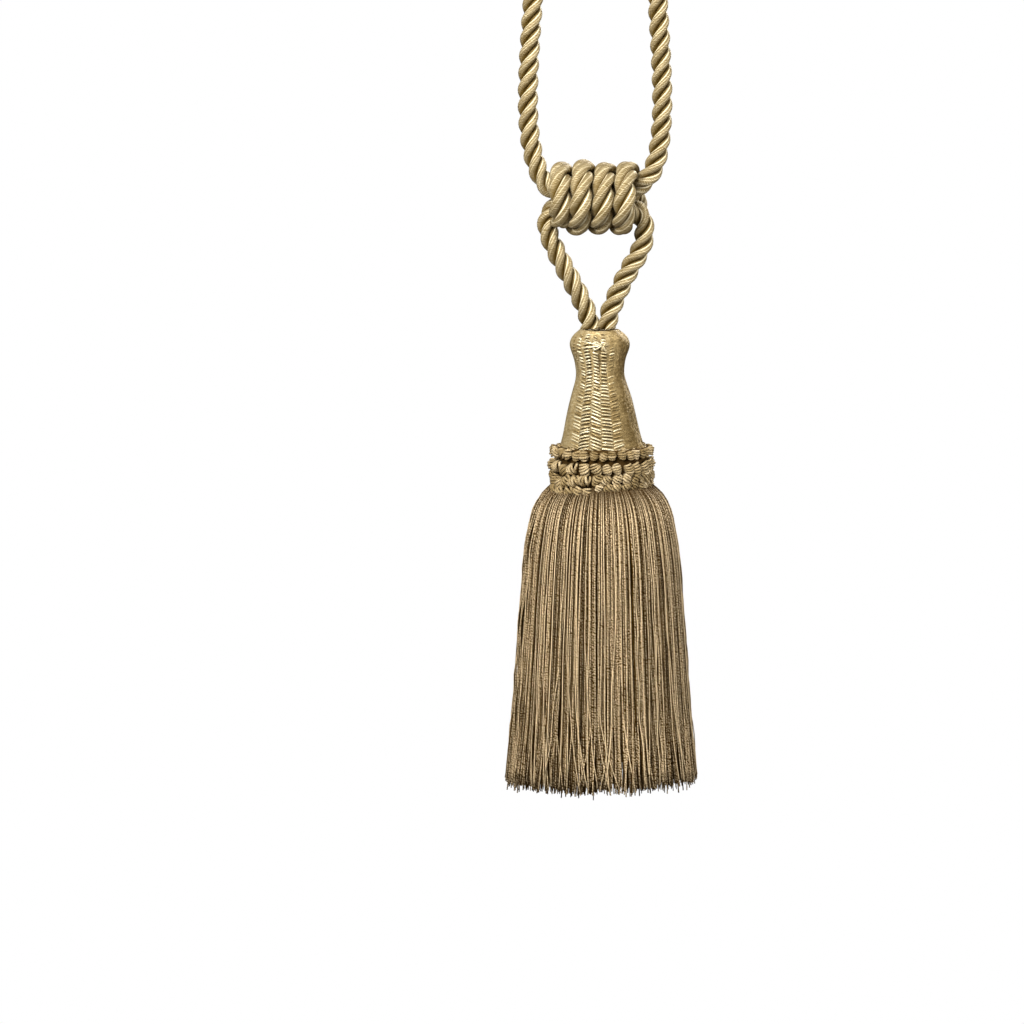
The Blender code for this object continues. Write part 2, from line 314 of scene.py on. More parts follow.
def make_piece(name, shape, marks, material, node):
    """A smooth-shaded mesh object that stands for a CAD node.

    shape is its points and two lists of arrays: for each block of faces the vertex numbers, and a pair of UV
    values in metres for each corner. marks are named arrays with one value for each vertex.
    """
    points, faces, corners = shape
    data = bpy.data.meshes.new(name)
    data.vertices.add(len(points))
    data.vertices.foreach_set("co", np.ascontiguousarray(points, np.float32).ravel())
    loops = np.concatenate([block.ravel() for block in faces])
    sizes = np.concatenate([np.full(len(block), block.shape[1]) for block in faces])
    data.loops.add(len(loops))
    data.loops.foreach_set("vertex_index", loops.astype(np.int32))
    data.polygons.add(len(sizes))
    data.polygons.foreach_set("loop_start", np.concatenate([[0], np.cumsum(sizes)[:-1]]).astype(np.int32))
    pairs = np.concatenate([block.reshape(-1, 2) for block in corners])
    data.uv_layers.new(name="yarn").uv.foreach_set("vector", pairs.astype(np.float32).ravel())
    for mark, values in marks.items():
        attribute = data.attributes.new(mark, "FLOAT", "POINT")
        attribute.data.foreach_set("value", np.asarray(values, np.float32).ravel())
    data.update(calc_edges=True)
    if data.validate():
        raise RuntimeError(f"{name} has faces that aren't valid")
    data.shade_smooth()
    data.materials.append(material)
    piece = bpy.data.objects.new(name, data)
    bpy.context.scene.collection.objects.link(piece)
    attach(piece, "root")
    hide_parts(node)
    return piece


def frames(lines, reference):
    """Two directions square to lines at each of their points: across, nearest to the reference, and up."""
    ahead = unit(np.gradient(lines, axis=-2))
    across = unit(reference - (reference * ahead).sum(-1, keepdims=True) * ahead)
    return across, np.cross(ahead, across)


def facets(values, beside=None, down=False):
    """The values at the four corners of every facet between neighbouring rings, in order round the facet.

    values has a row for each ring; beside holds the values one place further round. The facets face outwards
    where the rings go round a line to the left, or with down where they follow one another downwards.
    """
    after = np.roll(values, -1, axis=-1) if beside is None else beside
    near, ahead = values[..., :-1, :], values[..., 1:, :]
    near_after, ahead_after = after[..., :-1, :], after[..., 1:, :]
    if down:
        return np.stack([near, ahead, ahead_after, near_after], axis=-1)
    return np.stack([near, near_after, ahead_after, ahead], axis=-1)


def surface(points, number, u, v, caps, cap_corners, down=False):
    """Rings of numbered points as a closed shape; u and v are pairs, here and one place further round."""
    corners = np.stack([facets(*u, down), facets(*v, down)], axis=-1)
    return (
        points.reshape(-1, 3),
        [facets(number, down=down).reshape(-1, 4), caps],
        [corners.reshape(-1, 4, 2), cap_corners],
    )


def sweep(paths, radii, reference, sides, starts=0.0):
    """Round threads along many paths at once, closed at both ends.

    A ring of points stands square to the path at each of its points: the path's point plus the radius times
    the cosine of the ring angle across and its sine up, where across is the reference direction made square
    to the path. U runs along the thread from its own start value, and V round it.
    """
    threads, steps, _ = paths.shape
    across, up = frames(paths, reference)
    angle = TAU * np.arange(sides) / sides
    spokes = across[:, :, None] * np.cos(angle)[:, None] + up[:, :, None] * np.sin(angle)[:, None]
    points = paths[:, :, None] + radii[:, :, None, None] * spokes
    number = np.arange(threads * steps * sides).reshape(threads, steps, sides)
    run = np.zeros((threads, steps))
    run[:, 1:] = np.cumsum(np.linalg.norm(np.diff(paths, axis=1), axis=2), axis=1)
    run = run + np.reshape(starts, (-1, 1))
    girth = TAU * radii.mean() / sides
    u = np.broadcast_to(run[:, :, None], number.shape)
    v = np.broadcast_to(girth * np.arange(sides), number.shape)
    caps = np.concatenate([number[:, 0, ::-1], number[:, -1]])
    cap_u = np.stack([run[:, 0], run[:, -1]]).reshape(-1, 1).repeat(sides, axis=1)
    cap_corners = np.stack([cap_u, np.zeros_like(cap_u)], axis=-1)
    return surface(points, number, (u, u), (v, v + girth), caps, cap_corners)


def joined(parts):
    """Several shapes as one: all their points, and all their faces with the numbers shifted."""
    points, faces, corners, start = [], [], [], 0
    for part_points, part_faces, part_corners in parts:
        points.append(part_points)
        faces += [block + start for block in part_faces]
        corners += part_corners
        start += len(part_points)
    return np.concatenate(points), faces, corners


def lit_ring(sides, turn, least, mean=0.45, swing=0.75):
    """How much painted light the points of a thread's ring keep: most at the given turn, painted shade
    opposite.
    """
    ring = TAU * np.arange(sides) / sides
    return np.clip(mean + swing * np.cos(ring - turn), least, 1.0)


def around(radius, angle, drop, lean=0.0):
    """Places at a radius and an angle round the tassel's axis, a drop below the head's top."""
    height = HEAD_TOP_Z - drop + 0.0 * angle
    return np.stack([lean + radius * np.cos(angle), radius * np.sin(angle), height], axis=-1)


# Shader helpers.

SATIN_TINT = (1.0, 0.85, 0.54)  # the colour in which satin yarn shines
YARN_GLOSS = 0.12
CREASE_ROUGHNESS = 0.95
ROUGHNESS_SWING = 0.07  # how much smoother the lighter streaks are, and how much rougher the darker
FILAMENT_WANDER = 2.4  # how many pitches the turns of filament drift from one extreme to the other
TO_LIGHT = 1.6  # how soon a yarn reaches its light colour as its level rises
TO_DEEP = 1.3  # and its deep colour as the level falls


class Graph:
    """Adds nodes to a node tree and links them by name."""

    def __init__(self, tree):
        self.tree = tree

    def node(self, kind, settings=None, **inputs):
        """A node of a kind, with its settings, and its inputs linked or set."""
        made = self.tree.nodes.new(kind)
        for name, value in (settings or {}).items():
            setattr(made, name, value)
        for name, value in inputs.items():
            self.put(made.inputs[name.replace("_", " ")], value)
        return made

    def put(self, socket, value):
        """Link a socket to another, or set its value."""
        if isinstance(value, bpy.types.NodeSocket):
            self.tree.links.new(value, socket)
        else:
            socket.default_value = value

    def math(self, operation, *values, clamp=False):
        """A Math node's value."""
        made = self.tree.nodes.new("ShaderNodeMath")
        made.operation = operation
        made.use_clamp = clamp
        for socket, value in zip(made.inputs, values):
            self.put(socket, value)
        return made.outputs[0]

    def swing(self, value, gain, middle=0.5):
        """How far a value is above its middle, times a gain."""
        return self.math("MULTIPLY", self.math("SUBTRACT", value, middle), gain)

    def mix(self, share, first, second):
        """A colour between two others."""
        made = self.tree.nodes.new("ShaderNodeMix")
        made.data_type = "RGBA"
        made.clamp_factor = True
        self.put(made.inputs["Factor"], share)
        self.put(made.inputs[6], first)
        self.put(made.inputs[7], second)
        return made.outputs[2]

    def vector(self, x, y, z=0.0):
        """Three values as a vector."""
        return self.node("ShaderNodeCombineXYZ", X=x, Y=y, Z=z).outputs[0]

    def noise(self, vector, scale, detail=2.0, roughness=0.5):
        """A noise value from 0 to 1."""
        inputs = {"Vector": vector, "Scale": scale, "Detail": detail, "Roughness": roughness}
        return self.node("ShaderNodeTexNoise", **inputs).outputs[0]

    def mark(self, name):
        """The value that a piece's points keep under a name."""
        return self.node("ShaderNodeAttribute", {"attribute_name": name}).outputs["Fac"]

    def spread(self, value, low, high, to_low=0.0, to_high=1.0, smooth=False):
        """A value brought from one range into another and kept inside it."""
        made = self.node(
            "ShaderNodeMapRange", {"interpolation_type": "SMOOTHSTEP" if smooth else "LINEAR"},
            Value=value, From_Min=low, From_Max=high, To_Min=to_low, To_Max=to_high,
        )
        return made.outputs[0]


def shader_group(name, inputs, outputs):
    """A new shader node group with named sockets: its Graph, the inputs by name and the output node."""
    tree = bpy.data.node_groups.new(name, "ShaderNodeTree")
    for label, kind, default in inputs:
        tree.interface.new_socket(label, in_out="INPUT", socket_type=kind).default_value = default
    for label, kind in outputs:
        tree.interface.new_socket(label, in_out="OUTPUT", socket_type=kind)
    graph = Graph(tree)
    given = tree.nodes.new("NodeGroupInput").outputs
    return graph, given, tree.nodes.new("NodeGroupOutput")


def wound_filament():
    """Fine filament that lies side by side: a ridge for each turn, and lighter and darker turns."""
    name = "Wound filament"
    if name in bpy.data.node_groups:
        return bpy.data.node_groups[name]
    value = "NodeSocketFloat"
    graph, given, out = shader_group(
        name,
        [("Along", value, 0.0), ("Across", value, 0.0), ("Pitch", value, 0.0004), ("Slant", value, 0.2),
         ("Mottle", value, 0.001), ("Reach", value, 0.004)],
        [("Ridge", value), ("Streak", value)],
    )
    leaning = graph.math("MULTIPLY_ADD", given["Across"], given["Slant"], given["Along"])
    wander = graph.noise(graph.vector(given["Along"], given["Across"]), scale=420.0, detail=1.0)
    shifted = graph.math("MULTIPLY_ADD", graph.swing(wander, given["Pitch"]), FILAMENT_WANDER, leaning)
    turn = graph.math("MULTIPLY", graph.math("DIVIDE", shifted, given["Pitch"]), TAU)
    ridge = graph.math("MULTIPLY_ADD", graph.math("SINE", turn), 0.5, 0.5)
    lengthwise = graph.math("DIVIDE", shifted, given["Mottle"])
    crosswise = graph.math("DIVIDE", given["Across"], given["Reach"])
    streak = graph.noise(graph.vector(lengthwise, crosswise), scale=1.0, detail=3.0, roughness=0.6)
    graph.put(out.inputs["Ridge"], ridge)
    graph.put(out.inputs["Streak"], streak)
    return graph.tree


def yarn_tint():
    """Satin yarn's colour: from deep through middle to light, by streaks, ridges, painted light and a lift.
    """
    name = "Yarn tint"
    if name in bpy.data.node_groups:
        return bpy.data.node_groups[name]
    value, tone = "NodeSocketFloat", "NodeSocketColor"
    graph, given, out = shader_group(
        name,
        [("Deep", tone, (0.05, 0.03, 0.01, 1.0)), ("Middle", tone, (0.5, 0.4, 0.2, 1.0)),
         ("Light", tone, (0.8, 0.7, 0.4, 1.0)), ("Streak", value, 0.5), ("Ridge", value, 0.5),
         ("Open", value, 1.0), ("Lift", value, 0.0), ("Contrast", value, 1.0), ("Ribs", value, 0.22)],
        [("Color", tone)],
    )
    streak = graph.swing(given["Streak"], given["Contrast"])
    ridge = graph.swing(given["Ridge"], given["Ribs"])
    level = graph.math("ADD", graph.math("ADD", streak, ridge), given["Lift"])
    lighter = graph.mix(graph.math("MULTIPLY", level, TO_LIGHT, clamp=True), given["Middle"], given["Light"])
    darker = graph.mix(graph.math("MULTIPLY", level, -TO_DEEP, clamp=True), lighter, given["Deep"])
    # Where Open, the share of painted light, falls below 1, the colour is painted in shade down to the deep
    # colour.
    graph.put(out.inputs["Color"], graph.mix(given["Open"], given["Deep"], darker))
    return graph.tree


def rgba(colour_value):
    """A colour property as four numbers."""
    return (*colour_value, 1.0)


def yarn_material(name, settings, roughness, satin, build):
    """A yarn's material: where it lies open, a share of it reflects in its own colour as satin does.

    build(graph, u, v) gives the tint's Streak, Ridge, Open, Lift, Contrast and Ribs, and the bump's Height,
    Distance and Strength.
    """
    material = bpy.data.materials.new(name)
    material.use_nodes = True
    graph = Graph(material.node_tree)
    shader = material.node_tree.nodes["Principled BSDF"]
    uv = graph.node("ShaderNodeUVMap", {"uv_map": "yarn"}).outputs[0]
    pair = graph.node("ShaderNodeSeparateXYZ", Vector=uv).outputs
    made = build(graph, pair["X"], pair["Y"])
    tint = graph.node("ShaderNodeGroup", {"node_tree": yarn_tint()})
    for label, given in (("Deep", settings.deep), ("Middle", settings.middle), ("Light", settings.light)):
        tint.inputs[label].default_value = rgba(given)
    for label in ("Streak", "Ridge", "Open", "Lift", "Contrast", "Ribs"):
        graph.put(tint.inputs[label], made[label])
    graph.put(shader.inputs["Base Color"], tint.outputs["Color"])
    rough, smooth = roughness + ROUGHNESS_SWING, roughness - ROUGHNESS_SWING
    shine = graph.spread(made["Streak"], 0.3, 0.7, rough, smooth)
    graph.put(shader.inputs["Roughness"], graph.spread(made["Open"], 0.0, 0.5, CREASE_ROUGHNESS, shine))
    graph.put(shader.inputs["Metallic"], graph.math("MULTIPLY", made["Open"], satin))
    bump = graph.node("ShaderNodeBump")
    for label in ("Height", "Distance", "Strength"):
        graph.put(bump.inputs[label], made[label])
    graph.put(shader.inputs["Normal"], bump.outputs["Normal"])
    shader.inputs["Specular IOR Level"].default_value = YARN_GLOSS
    shader.inputs["Specular Tint"].default_value = rgba(SATIN_TINT)
    return material


def filament_on(graph, u, v, **sizes):
    """The wound filament group placed on a pair of UV values."""
    made = graph.node("ShaderNodeGroup", {"node_tree": wound_filament()}, Along=u, Across=v, **sizes)
    return made.outputs["Ridge"], made.outputs["Streak"]


def thread_yarn(name, settings, roughness, satin, filament, gain, look):
    """A yarn whose threads keep a tone, which times a gain is its lift, and a share of painted light, below
    1 painted shade.
    """
    def build(graph, u, v):
        ridge, streak = filament_on(graph, u, v, **filament)
        made = {"Streak": streak, "Ridge": ridge, "Height": ridge, "Open": graph.mark("open")}
        return {**made, "Lift": graph.math("MULTIPLY", graph.mark("tone"), gain), **look}
    return bpy.data.materials.get(name) or yarn_material(name, settings, roughness, satin, build)


# Cord.

LOBES = 3  # a lobe of the cord's outline for each strand
LOBE_COLUMNS = 14
LOBE_HALF_ANGLE = math.pi / LOBES
STRAND_HALF_GIRTH = 0.0034
# Painted highlight lines along each strand, the brightest one on its upward flank.
PAINTED_HIGHLIGHT_LINES = (
    # place across a strand in half girths from its middle, reach, gain
    (0.40, 0.058, 1.35),
    (0.14, 0.040, 0.36),
    (-0.10, 0.040, 0.28),
)
LOWER_CREASE_SHADE = (-0.60, -0.22)  # where, across a strand, the painted shade of the lower flank and crease ends
UPPER_CREASE_SHADE = (0.60, 0.44)  # and where the upper crease's painted shade does, from the crease inwards
UPPER_CREASE_LEAST_LIGHT = 0.16  # how much painted light the upper crease keeps there
PLY_SQUEEZE = 0.06  # the marks of a strand's plies are drawn out along it by the inverse of this
KNOT_STEP = 0.0009
KNOT_CLIMB = 0.80  # the strands lie flatter in the knot, so less of each one is painted as crease shade
KNOT_END_REACH = 0.006  # the knot's two ends are rounded off over this length
KNOT_END_SIZE = 0.45
WINDING_STATIONS = 600
METRES_TO_TURNS = 60.0  # brings radii to about the size of turns, so that the spline runs even


def cord_material(settings):
    """Twisted satin cord: filament wound round each strand, painted highlight lines along it, painted crease
    shade.
    """
    def build(graph, u, v):
        sizes = {"Pitch": settings.filament, "Slant": 0.22, "Mottle": settings.mottle, "Reach": 0.0042}
        ridge, streak = filament_on(graph, u, v, **sizes)
        # Painted light by the way a flank faces: highlight lines on the upward flank, painted shade on the
        # downward one and in the creases.
        climb = graph.mark("climb")
        flank = graph.math("MULTIPLY", graph.math("MULTIPLY", v, -1.0 / STRAND_HALF_GIRTH), climb)
        lower = graph.spread(flank, *LOWER_CREASE_SHADE, smooth=True)
        upper = graph.spread(flank, *UPPER_CREASE_SHADE, UPPER_CREASE_LEAST_LIGHT, 1.0, smooth=True)
        lit_share = graph.math("MULTIPLY", upper, lower)
        lengthwise = graph.math("MULTIPLY", u, PLY_SQUEEZE)
        ply = graph.noise(graph.vector(lengthwise, v), scale=1400.0, detail=1.0)
        broad = graph.noise(graph.vector(u, v), scale=160.0, detail=2.0)
        lift = graph.math("ADD", graph.swing(broad, 0.24), graph.swing(ply, 0.50, middle=0.54))
        # Painted highlight lines along the strand.
        for at, reach, gain in PAINTED_HIGHLIGHT_LINES:
            away = graph.math("ABSOLUTE", graph.math("SUBTRACT", flank, at))
            lift = graph.math("ADD", lift, graph.spread(away, reach, 0.3 * reach, 0.0, gain, smooth=True))
        height = graph.math("ADD", ridge, graph.math("MULTIPLY", ply, 3.0))
        return {"Streak": streak, "Ridge": ridge, "Open": lit_share, "Lift": lift, "Height": height,
                "Distance": 0.00014, "Strength": 0.5, "Contrast": 0.5, "Ribs": 0.5}
    name = "Twisted cord yarn"
    return bpy.data.materials.get(name) or yarn_material(name, settings, 0.46, 0.12, build)


def rope(line, reference, settings, lay, wide=1.0, thick=1.0, swell=1.0):
    """Three strands laid into a cord along a line, as one closed lobed tube.

    Round the line the outline is, for each strand, the far side of an ellipse whose middle stands a strand
    offset from the cord's middle: its distance r at an angle a from the strand solves
    ((r cos a - offset) / rise)^2 + (r sin a / spread)^2 = 1. The outline turns once round in each lay of the
    cord, is stretched across the line by wide and square to that by thick, and grows by swell.
    """
    rise, spread, offset = settings.strand_rise, settings.strand_spread, settings.strand_offset
    run = along(line)
    across, up = frames(line, reference)
    share = np.linspace(-1.0, 1.0, LOBE_COLUMNS + 1)
    lobe_angle = LOBE_HALF_ANGLE * np.sin(share * math.pi / 2.0)
    a = np.cos(lobe_angle) ** 2 / rise ** 2 + np.sin(lobe_angle) ** 2 / spread ** 2
    b = -2.0 * offset * np.cos(lobe_angle) / rise ** 2
    c = (offset / rise) ** 2 - 1.0
    lobe_radius = (-b + np.sqrt(np.maximum(b * b - 4.0 * a * c, 0.0))) / (2.0 * a)
    angle = np.concatenate([lobe_angle[:-1] + 2.0 * LOBE_HALF_ANGLE * k for k in range(LOBES)])
    radius = np.tile(lobe_radius[:-1], LOBES)
    turned = angle + (TAU * run / lay)[:, None]
    size = np.ones(len(line)) * swell
    x = (radius * np.cos(turned)) * (wide * size)[:, None]
    y = (radius * np.sin(turned)) * (thick * size)[:, None]
    points = line[:, None] + x[..., None] * across[:, None] + y[..., None] * up[:, None]
    sides = LOBES * LOBE_COLUMNS
    number = np.arange(len(line) * sides).reshape(-1, sides)
    u = np.broadcast_to((run * math.hypot(1.0, TAU * offset / lay))[:, None], number.shape)
    girths = (np.tile(edge, LOBES) * STRAND_HALF_GIRTH for edge in (share[:-1], share[1:]))
    v = [np.broadcast_to(girth, number.shape) for girth in girths]
    caps = np.stack([number[0, ::-1], number[-1]])
    return surface(points, number, (u, u), v, caps, np.zeros((2, sides, 2)))


def climb_of(line):
    """How steeply the line climbs, for each point of its rope: 1 straight up and -1 straight down."""
    return np.repeat(unit(np.gradient(line, axis=0))[:, 2], LOBES * LOBE_COLUMNS)


def end_taper(line, reach, least):
    """A factor that rounds a cord's two ends off over a reach: a quarter circle up from the least size."""
    run = along(line)
    share = np.clip(np.minimum(run, run[-1] - run) / reach, 0.0, 1.0)
    return least + (1.0 - least) * np.sqrt(1.0 - (1.0 - share) ** 2)


def winding_line():
    """The middle of the slide knot's cord.

    It goes round the knot's axis from behind, over the top and down the front, and steps one pitch to the
    left in each turn. It sways so that the front runs steeper than the back, and the last turn is squeezed.
    """
    turns = column(WINDING_RADII, 0)
    turn = np.linspace(turns[0], turns[-1], WINDING_STATIONS)
    smooth = natural_spline(np.column_stack([turns, METRES_TO_TURNS * column(WINDING_RADII, 1)]))
    radius = np.interp(turn, smooth[:, 0], smooth[:, 1]) / METRES_TO_TURNS
    sway = WINDING_SWAY * (1.0 - np.cos(TAU * turn))
    squeeze = WINDING_SQUEEZE * np.maximum(0.0, turn - WINDING_SQUEEZE_FROM) ** 2
    x = WINDING_FIRST_X - WINDING_PITCH * turn + sway + squeeze
    return np.stack([x, -radius * np.sin(TAU * turn), WINDING_Z + radius * np.cos(TAU * turn)], axis=1)


class TIEBACK_OT_loop_cord(bpy.types.Operator):
    """The loop cord: three strands along the whole route, both ends in the head's top"""

    bl_idname = "tieback.loop_cord"
    bl_label = "Loop cord"

    def execute(self, context):
        settings = context.scene.tieback_cord
        line = evenly(natural_spline(LOOP_ROUTE), settings.step)
        shape = rope(line, np.array([0.0, 1.0, 0.0]), settings, settings.lay)
        marks = {"climb": climb_of(line)}
        piece = make_piece("loop_cord_rope", shape, marks, cord_material(settings), "loop_cord")
        return {"FINISHED"}


class TIEBACK_OT_slide_knot(bpy.types.Operator):
    """The slide knot: a second length of the cord wound four times round both runs of the loop"""

    bl_idname = "tieback.slide_knot"
    bl_label = "Slide knot"

    def execute(self, context):
        settings = context.scene.tieback_cord
        line = evenly(winding_line(), KNOT_STEP)
        shape = rope(
            line, np.array([1.0, 0.0, 0.0]), settings, settings.knot_lay, settings.knot_width,
            settings.knot_thickness, end_taper(line, KNOT_END_REACH, KNOT_END_SIZE),
        )
        marks = {"climb": KNOT_CLIMB * climb_of(line)}
        yarn = cord_material(settings)
        piece = make_piece("slide_knot_rope", shape, marks, yarn, "slide_knot")
        return {"FINISHED"}


# Head.

COVER_ROW_STEP = 0.0006  # from one row of the cover's mesh to the next
UNDER_ROW_STEP = 0.0012  # and the same under its foot and round the spigot
COVER_FOOT_DROP = 0.0665  # the cover's last ring lies above this drop
COVER_MIDDLE = ((0.0009, 0.0004), (0.0004, 0.0060))  # drop and radius of the dished middle of the top
EDGE_ROUND = 0.0008  # how much the edges of the foot and the spigot are rounded
SMALLEST_RING = 0.0004
WALE_COLUMNS = 8  # mesh columns to one column of stitches
STAR_ANGLE = -0.5 * math.pi + 0.08  # the cover is gathered into a star on the front, just under its rim
STAR_RUN = 0.0192  # how far the star is from the middle of the top, along the outline
STAR_STROKES = (
    # from and to in degrees, 0 to the right and 90 down; strokes; their length; tone
    (171.0, 188.0, 2, 0.0148, 2.4),
    (207.0, 207.0, 1, 0.0062, 1.8),
    (148.0, 148.0, 1, 0.0070, 1.6),
    (0.0, 0.0, 1, 0.0046, 0.6),
    (333.0, 333.0, 1, 0.0034, 0.6),
    (58.0, 58.0, 1, 0.0046, 1.2),
    (256.0, 256.0, 1, 0.0034, 1.0),
    (92.0, 92.0, 1, 0.0042, 0.5),
)
STROKE_STATIONS = 9
STROKE_RADIUS = 0.00043
STROKE_RISE = 0.00045  # how far a stroke stands out halfway along
STROKE_SINK = 0.0003  # how deep it lies, how far its end sinks in and how much strokes differ
UNDER_STAR_SHIFT = 0.0020  # the strokes cover an oval patch that lies mostly to the left of the star
UNDER_STAR_NARROW = 0.75
UNDER_STAR_REACH = 0.0040
STITCHES_UNDER_STAR = 0.0042  # the reach in which stitches duck under the strokes
PARTING_LENGTH = 0.020  # the seam that runs down from the star
PARTING_SHIFT = -0.0014
PARTING_WIDTH = 0.00045
PARTING_DEPTH = 0.0007
PARTING_SWAY = 0.00035
PARTING_SWAY_RATE = 900.0  # radians in a metre of outline
PARTING_FADE = (0.002, 0.008)  # over which the seam begins and ends
DIMPLE_REACH = 0.0011
DIMPLE_DEPTH = 0.0008
PATCH_DEPTH = 0.0003  # how far the cover gives way under the star's strokes
TOP_DARK_TO = 0.0085  # the middle of the top is painted in shade, up to this far along the outline
TOP_DARK_EDGE = 0.0040
BETWEEN_EDGE = 0.12  # in columns: how soft the painted shade between a column's stitches begins
COVER_SHADES = (0.90, 0.80, 0.85, 0.76, 0.75)  # how dark the painted shade is in the seam, dimple, top, stitch gaps and star's patch
SOFT_FOLDS = (
    # height, folds round the head, radians in a metre of outline
    (0.00010, 9.0, 160.0),
    (0.00008, 13.0, -240.0),
)
NECK_RADIUS = 0.014
FIRST_COLUMN_ANGLE = STAR_ANGLE + PARTING_SHIFT / NECK_RADIUS + TAU / 42.0
STITCH_FROM = 0.0128  # how far along the outline the columns of stitches start
STITCH_HEM = 0.0005  # and how far above the cover's last ring they end
STITCH_STATIONS = 7
STITCH_SIDES = 6
STITCH_JITTER = 0.00018  # how unevenly the stitches follow one another
STITCH_RISE = 0.00062  # how far the middle of a stitch's thread stands out on the front
STITCH_SINK = 0.00125  # how much deeper it lies at the sides and the back
STITCH_CURL = 0.0006  # how much deeper its two ends lie
STITCH_DUCK = 0.0009  # how much deeper it lies under the star's strokes
STITCH_UNEVEN = 0.00007
STITCH_SLANT = (0.10, 0.55)  # least and most slope of a column's stitches
STITCH_BOW = (0.0001, 0.0006)  # and their least and most bow upwards
STITCH_TAPER = 0.50
TONE_SPREAD = 0.7
NARROW_COLUMN = 0.52  # how much of a column's width its stitches take above
NARROW_SWING = 0.10  # and how much columns differ in that
FULL_WIDTH = 0.98  # how much of a column its stitches take where they meet
WIDTH_GAIN = 1.9  # how soon they do on the way down
FRONT_ANGLE = -0.5 * math.pi - 0.30
FRONT_DRIFT = 0.17  # how far the front's middle moves to the right on the way down
FRONT_HALF_WIDTH = 0.72  # radians to each side in which the stitches stand proud
BACK_ANGLE = 0.5 * math.pi
BACK_HALF_WIDTH = 1.1  # and the same at the back
FRONT_PAINTED_HIGHLIGHT = 1.8  # how much lighter the stitches on the front and back are painted, as painted highlight
STITCH_TURN = -0.6  # radians from a stitch's outward side to where its ring is painted lightest
# The least painted light on the shaded side of a stitch's or stroke's ring.
LEAST_PAINTED_LIGHT = 0.12
RIGHT_PAINTED_SHADE = 3.3  # how much darker the cover is painted on the right, as painted shade
RIGHT_PAINTED_SHADE_LIMIT = -1.8  # and the darkest that this makes it
HEAD_SEED = 11


def turned_outline(node):
    """Drop, radius and lean of a turned solid, ring by ring from its top down."""
    vertices = np.array([vertex.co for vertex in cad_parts[node].data.vertices])
    drops = np.round(HEAD_TOP_Z - vertices[:, 2], 5)
    rows = []
    for drop in np.unique(drops):
        x = vertices[drops == drop, 0]
        rows.append((drop, (x.max() - x.min()) / 2.0, (x.max() + x.min()) / 2.0))
    return np.array(rows)


def head_outline():
    """The head's outline as drop, radius and lean: a smooth curve for the cover, straight lines under it."""
    rings = turned_outline("head")
    cover = rings[rings[:, 0] < COVER_FOOT_DROP]
    top = np.array([(drop, radius, cover[0, 2]) for drop, radius in COVER_MIDDLE])
    over = evenly(natural_spline(np.concatenate([top, cover])), COVER_ROW_STEP)
    base_drop, end_drop = rings[-2:, 0]
    foot_radius, spigot_radius = cover[-1, 1], rings[-1, 1]
    under = np.array([
        (base_drop - EDGE_ROUND, foot_radius, 0.0),
        (base_drop, foot_radius - EDGE_ROUND, 0.0),
        (base_drop, spigot_radius, 0.0),
        (end_drop - EDGE_ROUND, spigot_radius, 0.0),
        (end_drop, spigot_radius - EDGE_ROUND, 0.0),
        (end_drop, SMALLEST_RING, 0.0),
    ])
    return over, evenly(np.concatenate([over[-1:], under]), UNDER_ROW_STEP)[1:]


def on_cover(cover, angle, run, out):
    """Places on the head's cover: at an angle round it, a run along its outline, and so far out from it."""
    along_cover = along(cover[:, :2])
    drop, radius, lean = (np.interp(run, along_cover, cover[:, k]) for k in range(3))
    slope = unit(np.gradient(cover[:, :2], axis=0))
    down, outward = (np.interp(run, along_cover, slope[:, k]) for k in range(2))
    return around(radius + out * down, angle, drop - out * outward, lean)


def from_star(angle, run, radius):
    """How far across and down from the star a place on the cover is."""
    return radius * wrapped(angle - STAR_ANGLE), run - STAR_RUN


def under_star(across, down, reach):
    """1 in the oval patch under the star's strokes, falling to 0 outside it."""
    return plateau(np.hypot(across * UNDER_STAR_NARROW + UNDER_STAR_SHIFT, down), reach)


def front_share(angle, share):
    """1 on the head's front and back, falling to 0 at its sides."""
    front = plateau(wrapped(angle - FRONT_ANGLE - FRONT_DRIFT * share), FRONT_HALF_WIDTH)
    return front + plateau(wrapped(angle - BACK_ANGLE), BACK_HALF_WIDTH)


def right_painted_shade(angle):
    """Painted shade on the cover's right: its tone darker there by the square of the cosine, down to a least
    tone.
    """
    return np.maximum(-RIGHT_PAINTED_SHADE * np.clip(np.cos(angle), 0.0, 1.0) ** 2, RIGHT_PAINTED_SHADE_LIMIT)


def column_fill(wale, share, wales):
    """How much of a column's width its stitches take: narrower in some above, and nearly all of it below."""
    narrow = NARROW_COLUMN + NARROW_SWING * np.sin(2.4 * (wale % wales) + 0.6)
    return narrow + (FULL_WIDTH - narrow) * np.minimum(1.0, WIDTH_GAIN * share)


def stitch_share(run, cover):
    """How far down the columns of stitches a place is, from 0 to 1."""
    return np.clip((run - STITCH_FROM) / (along(cover[:, :2])[-1] - STITCH_FROM), 0.0, 1.0)


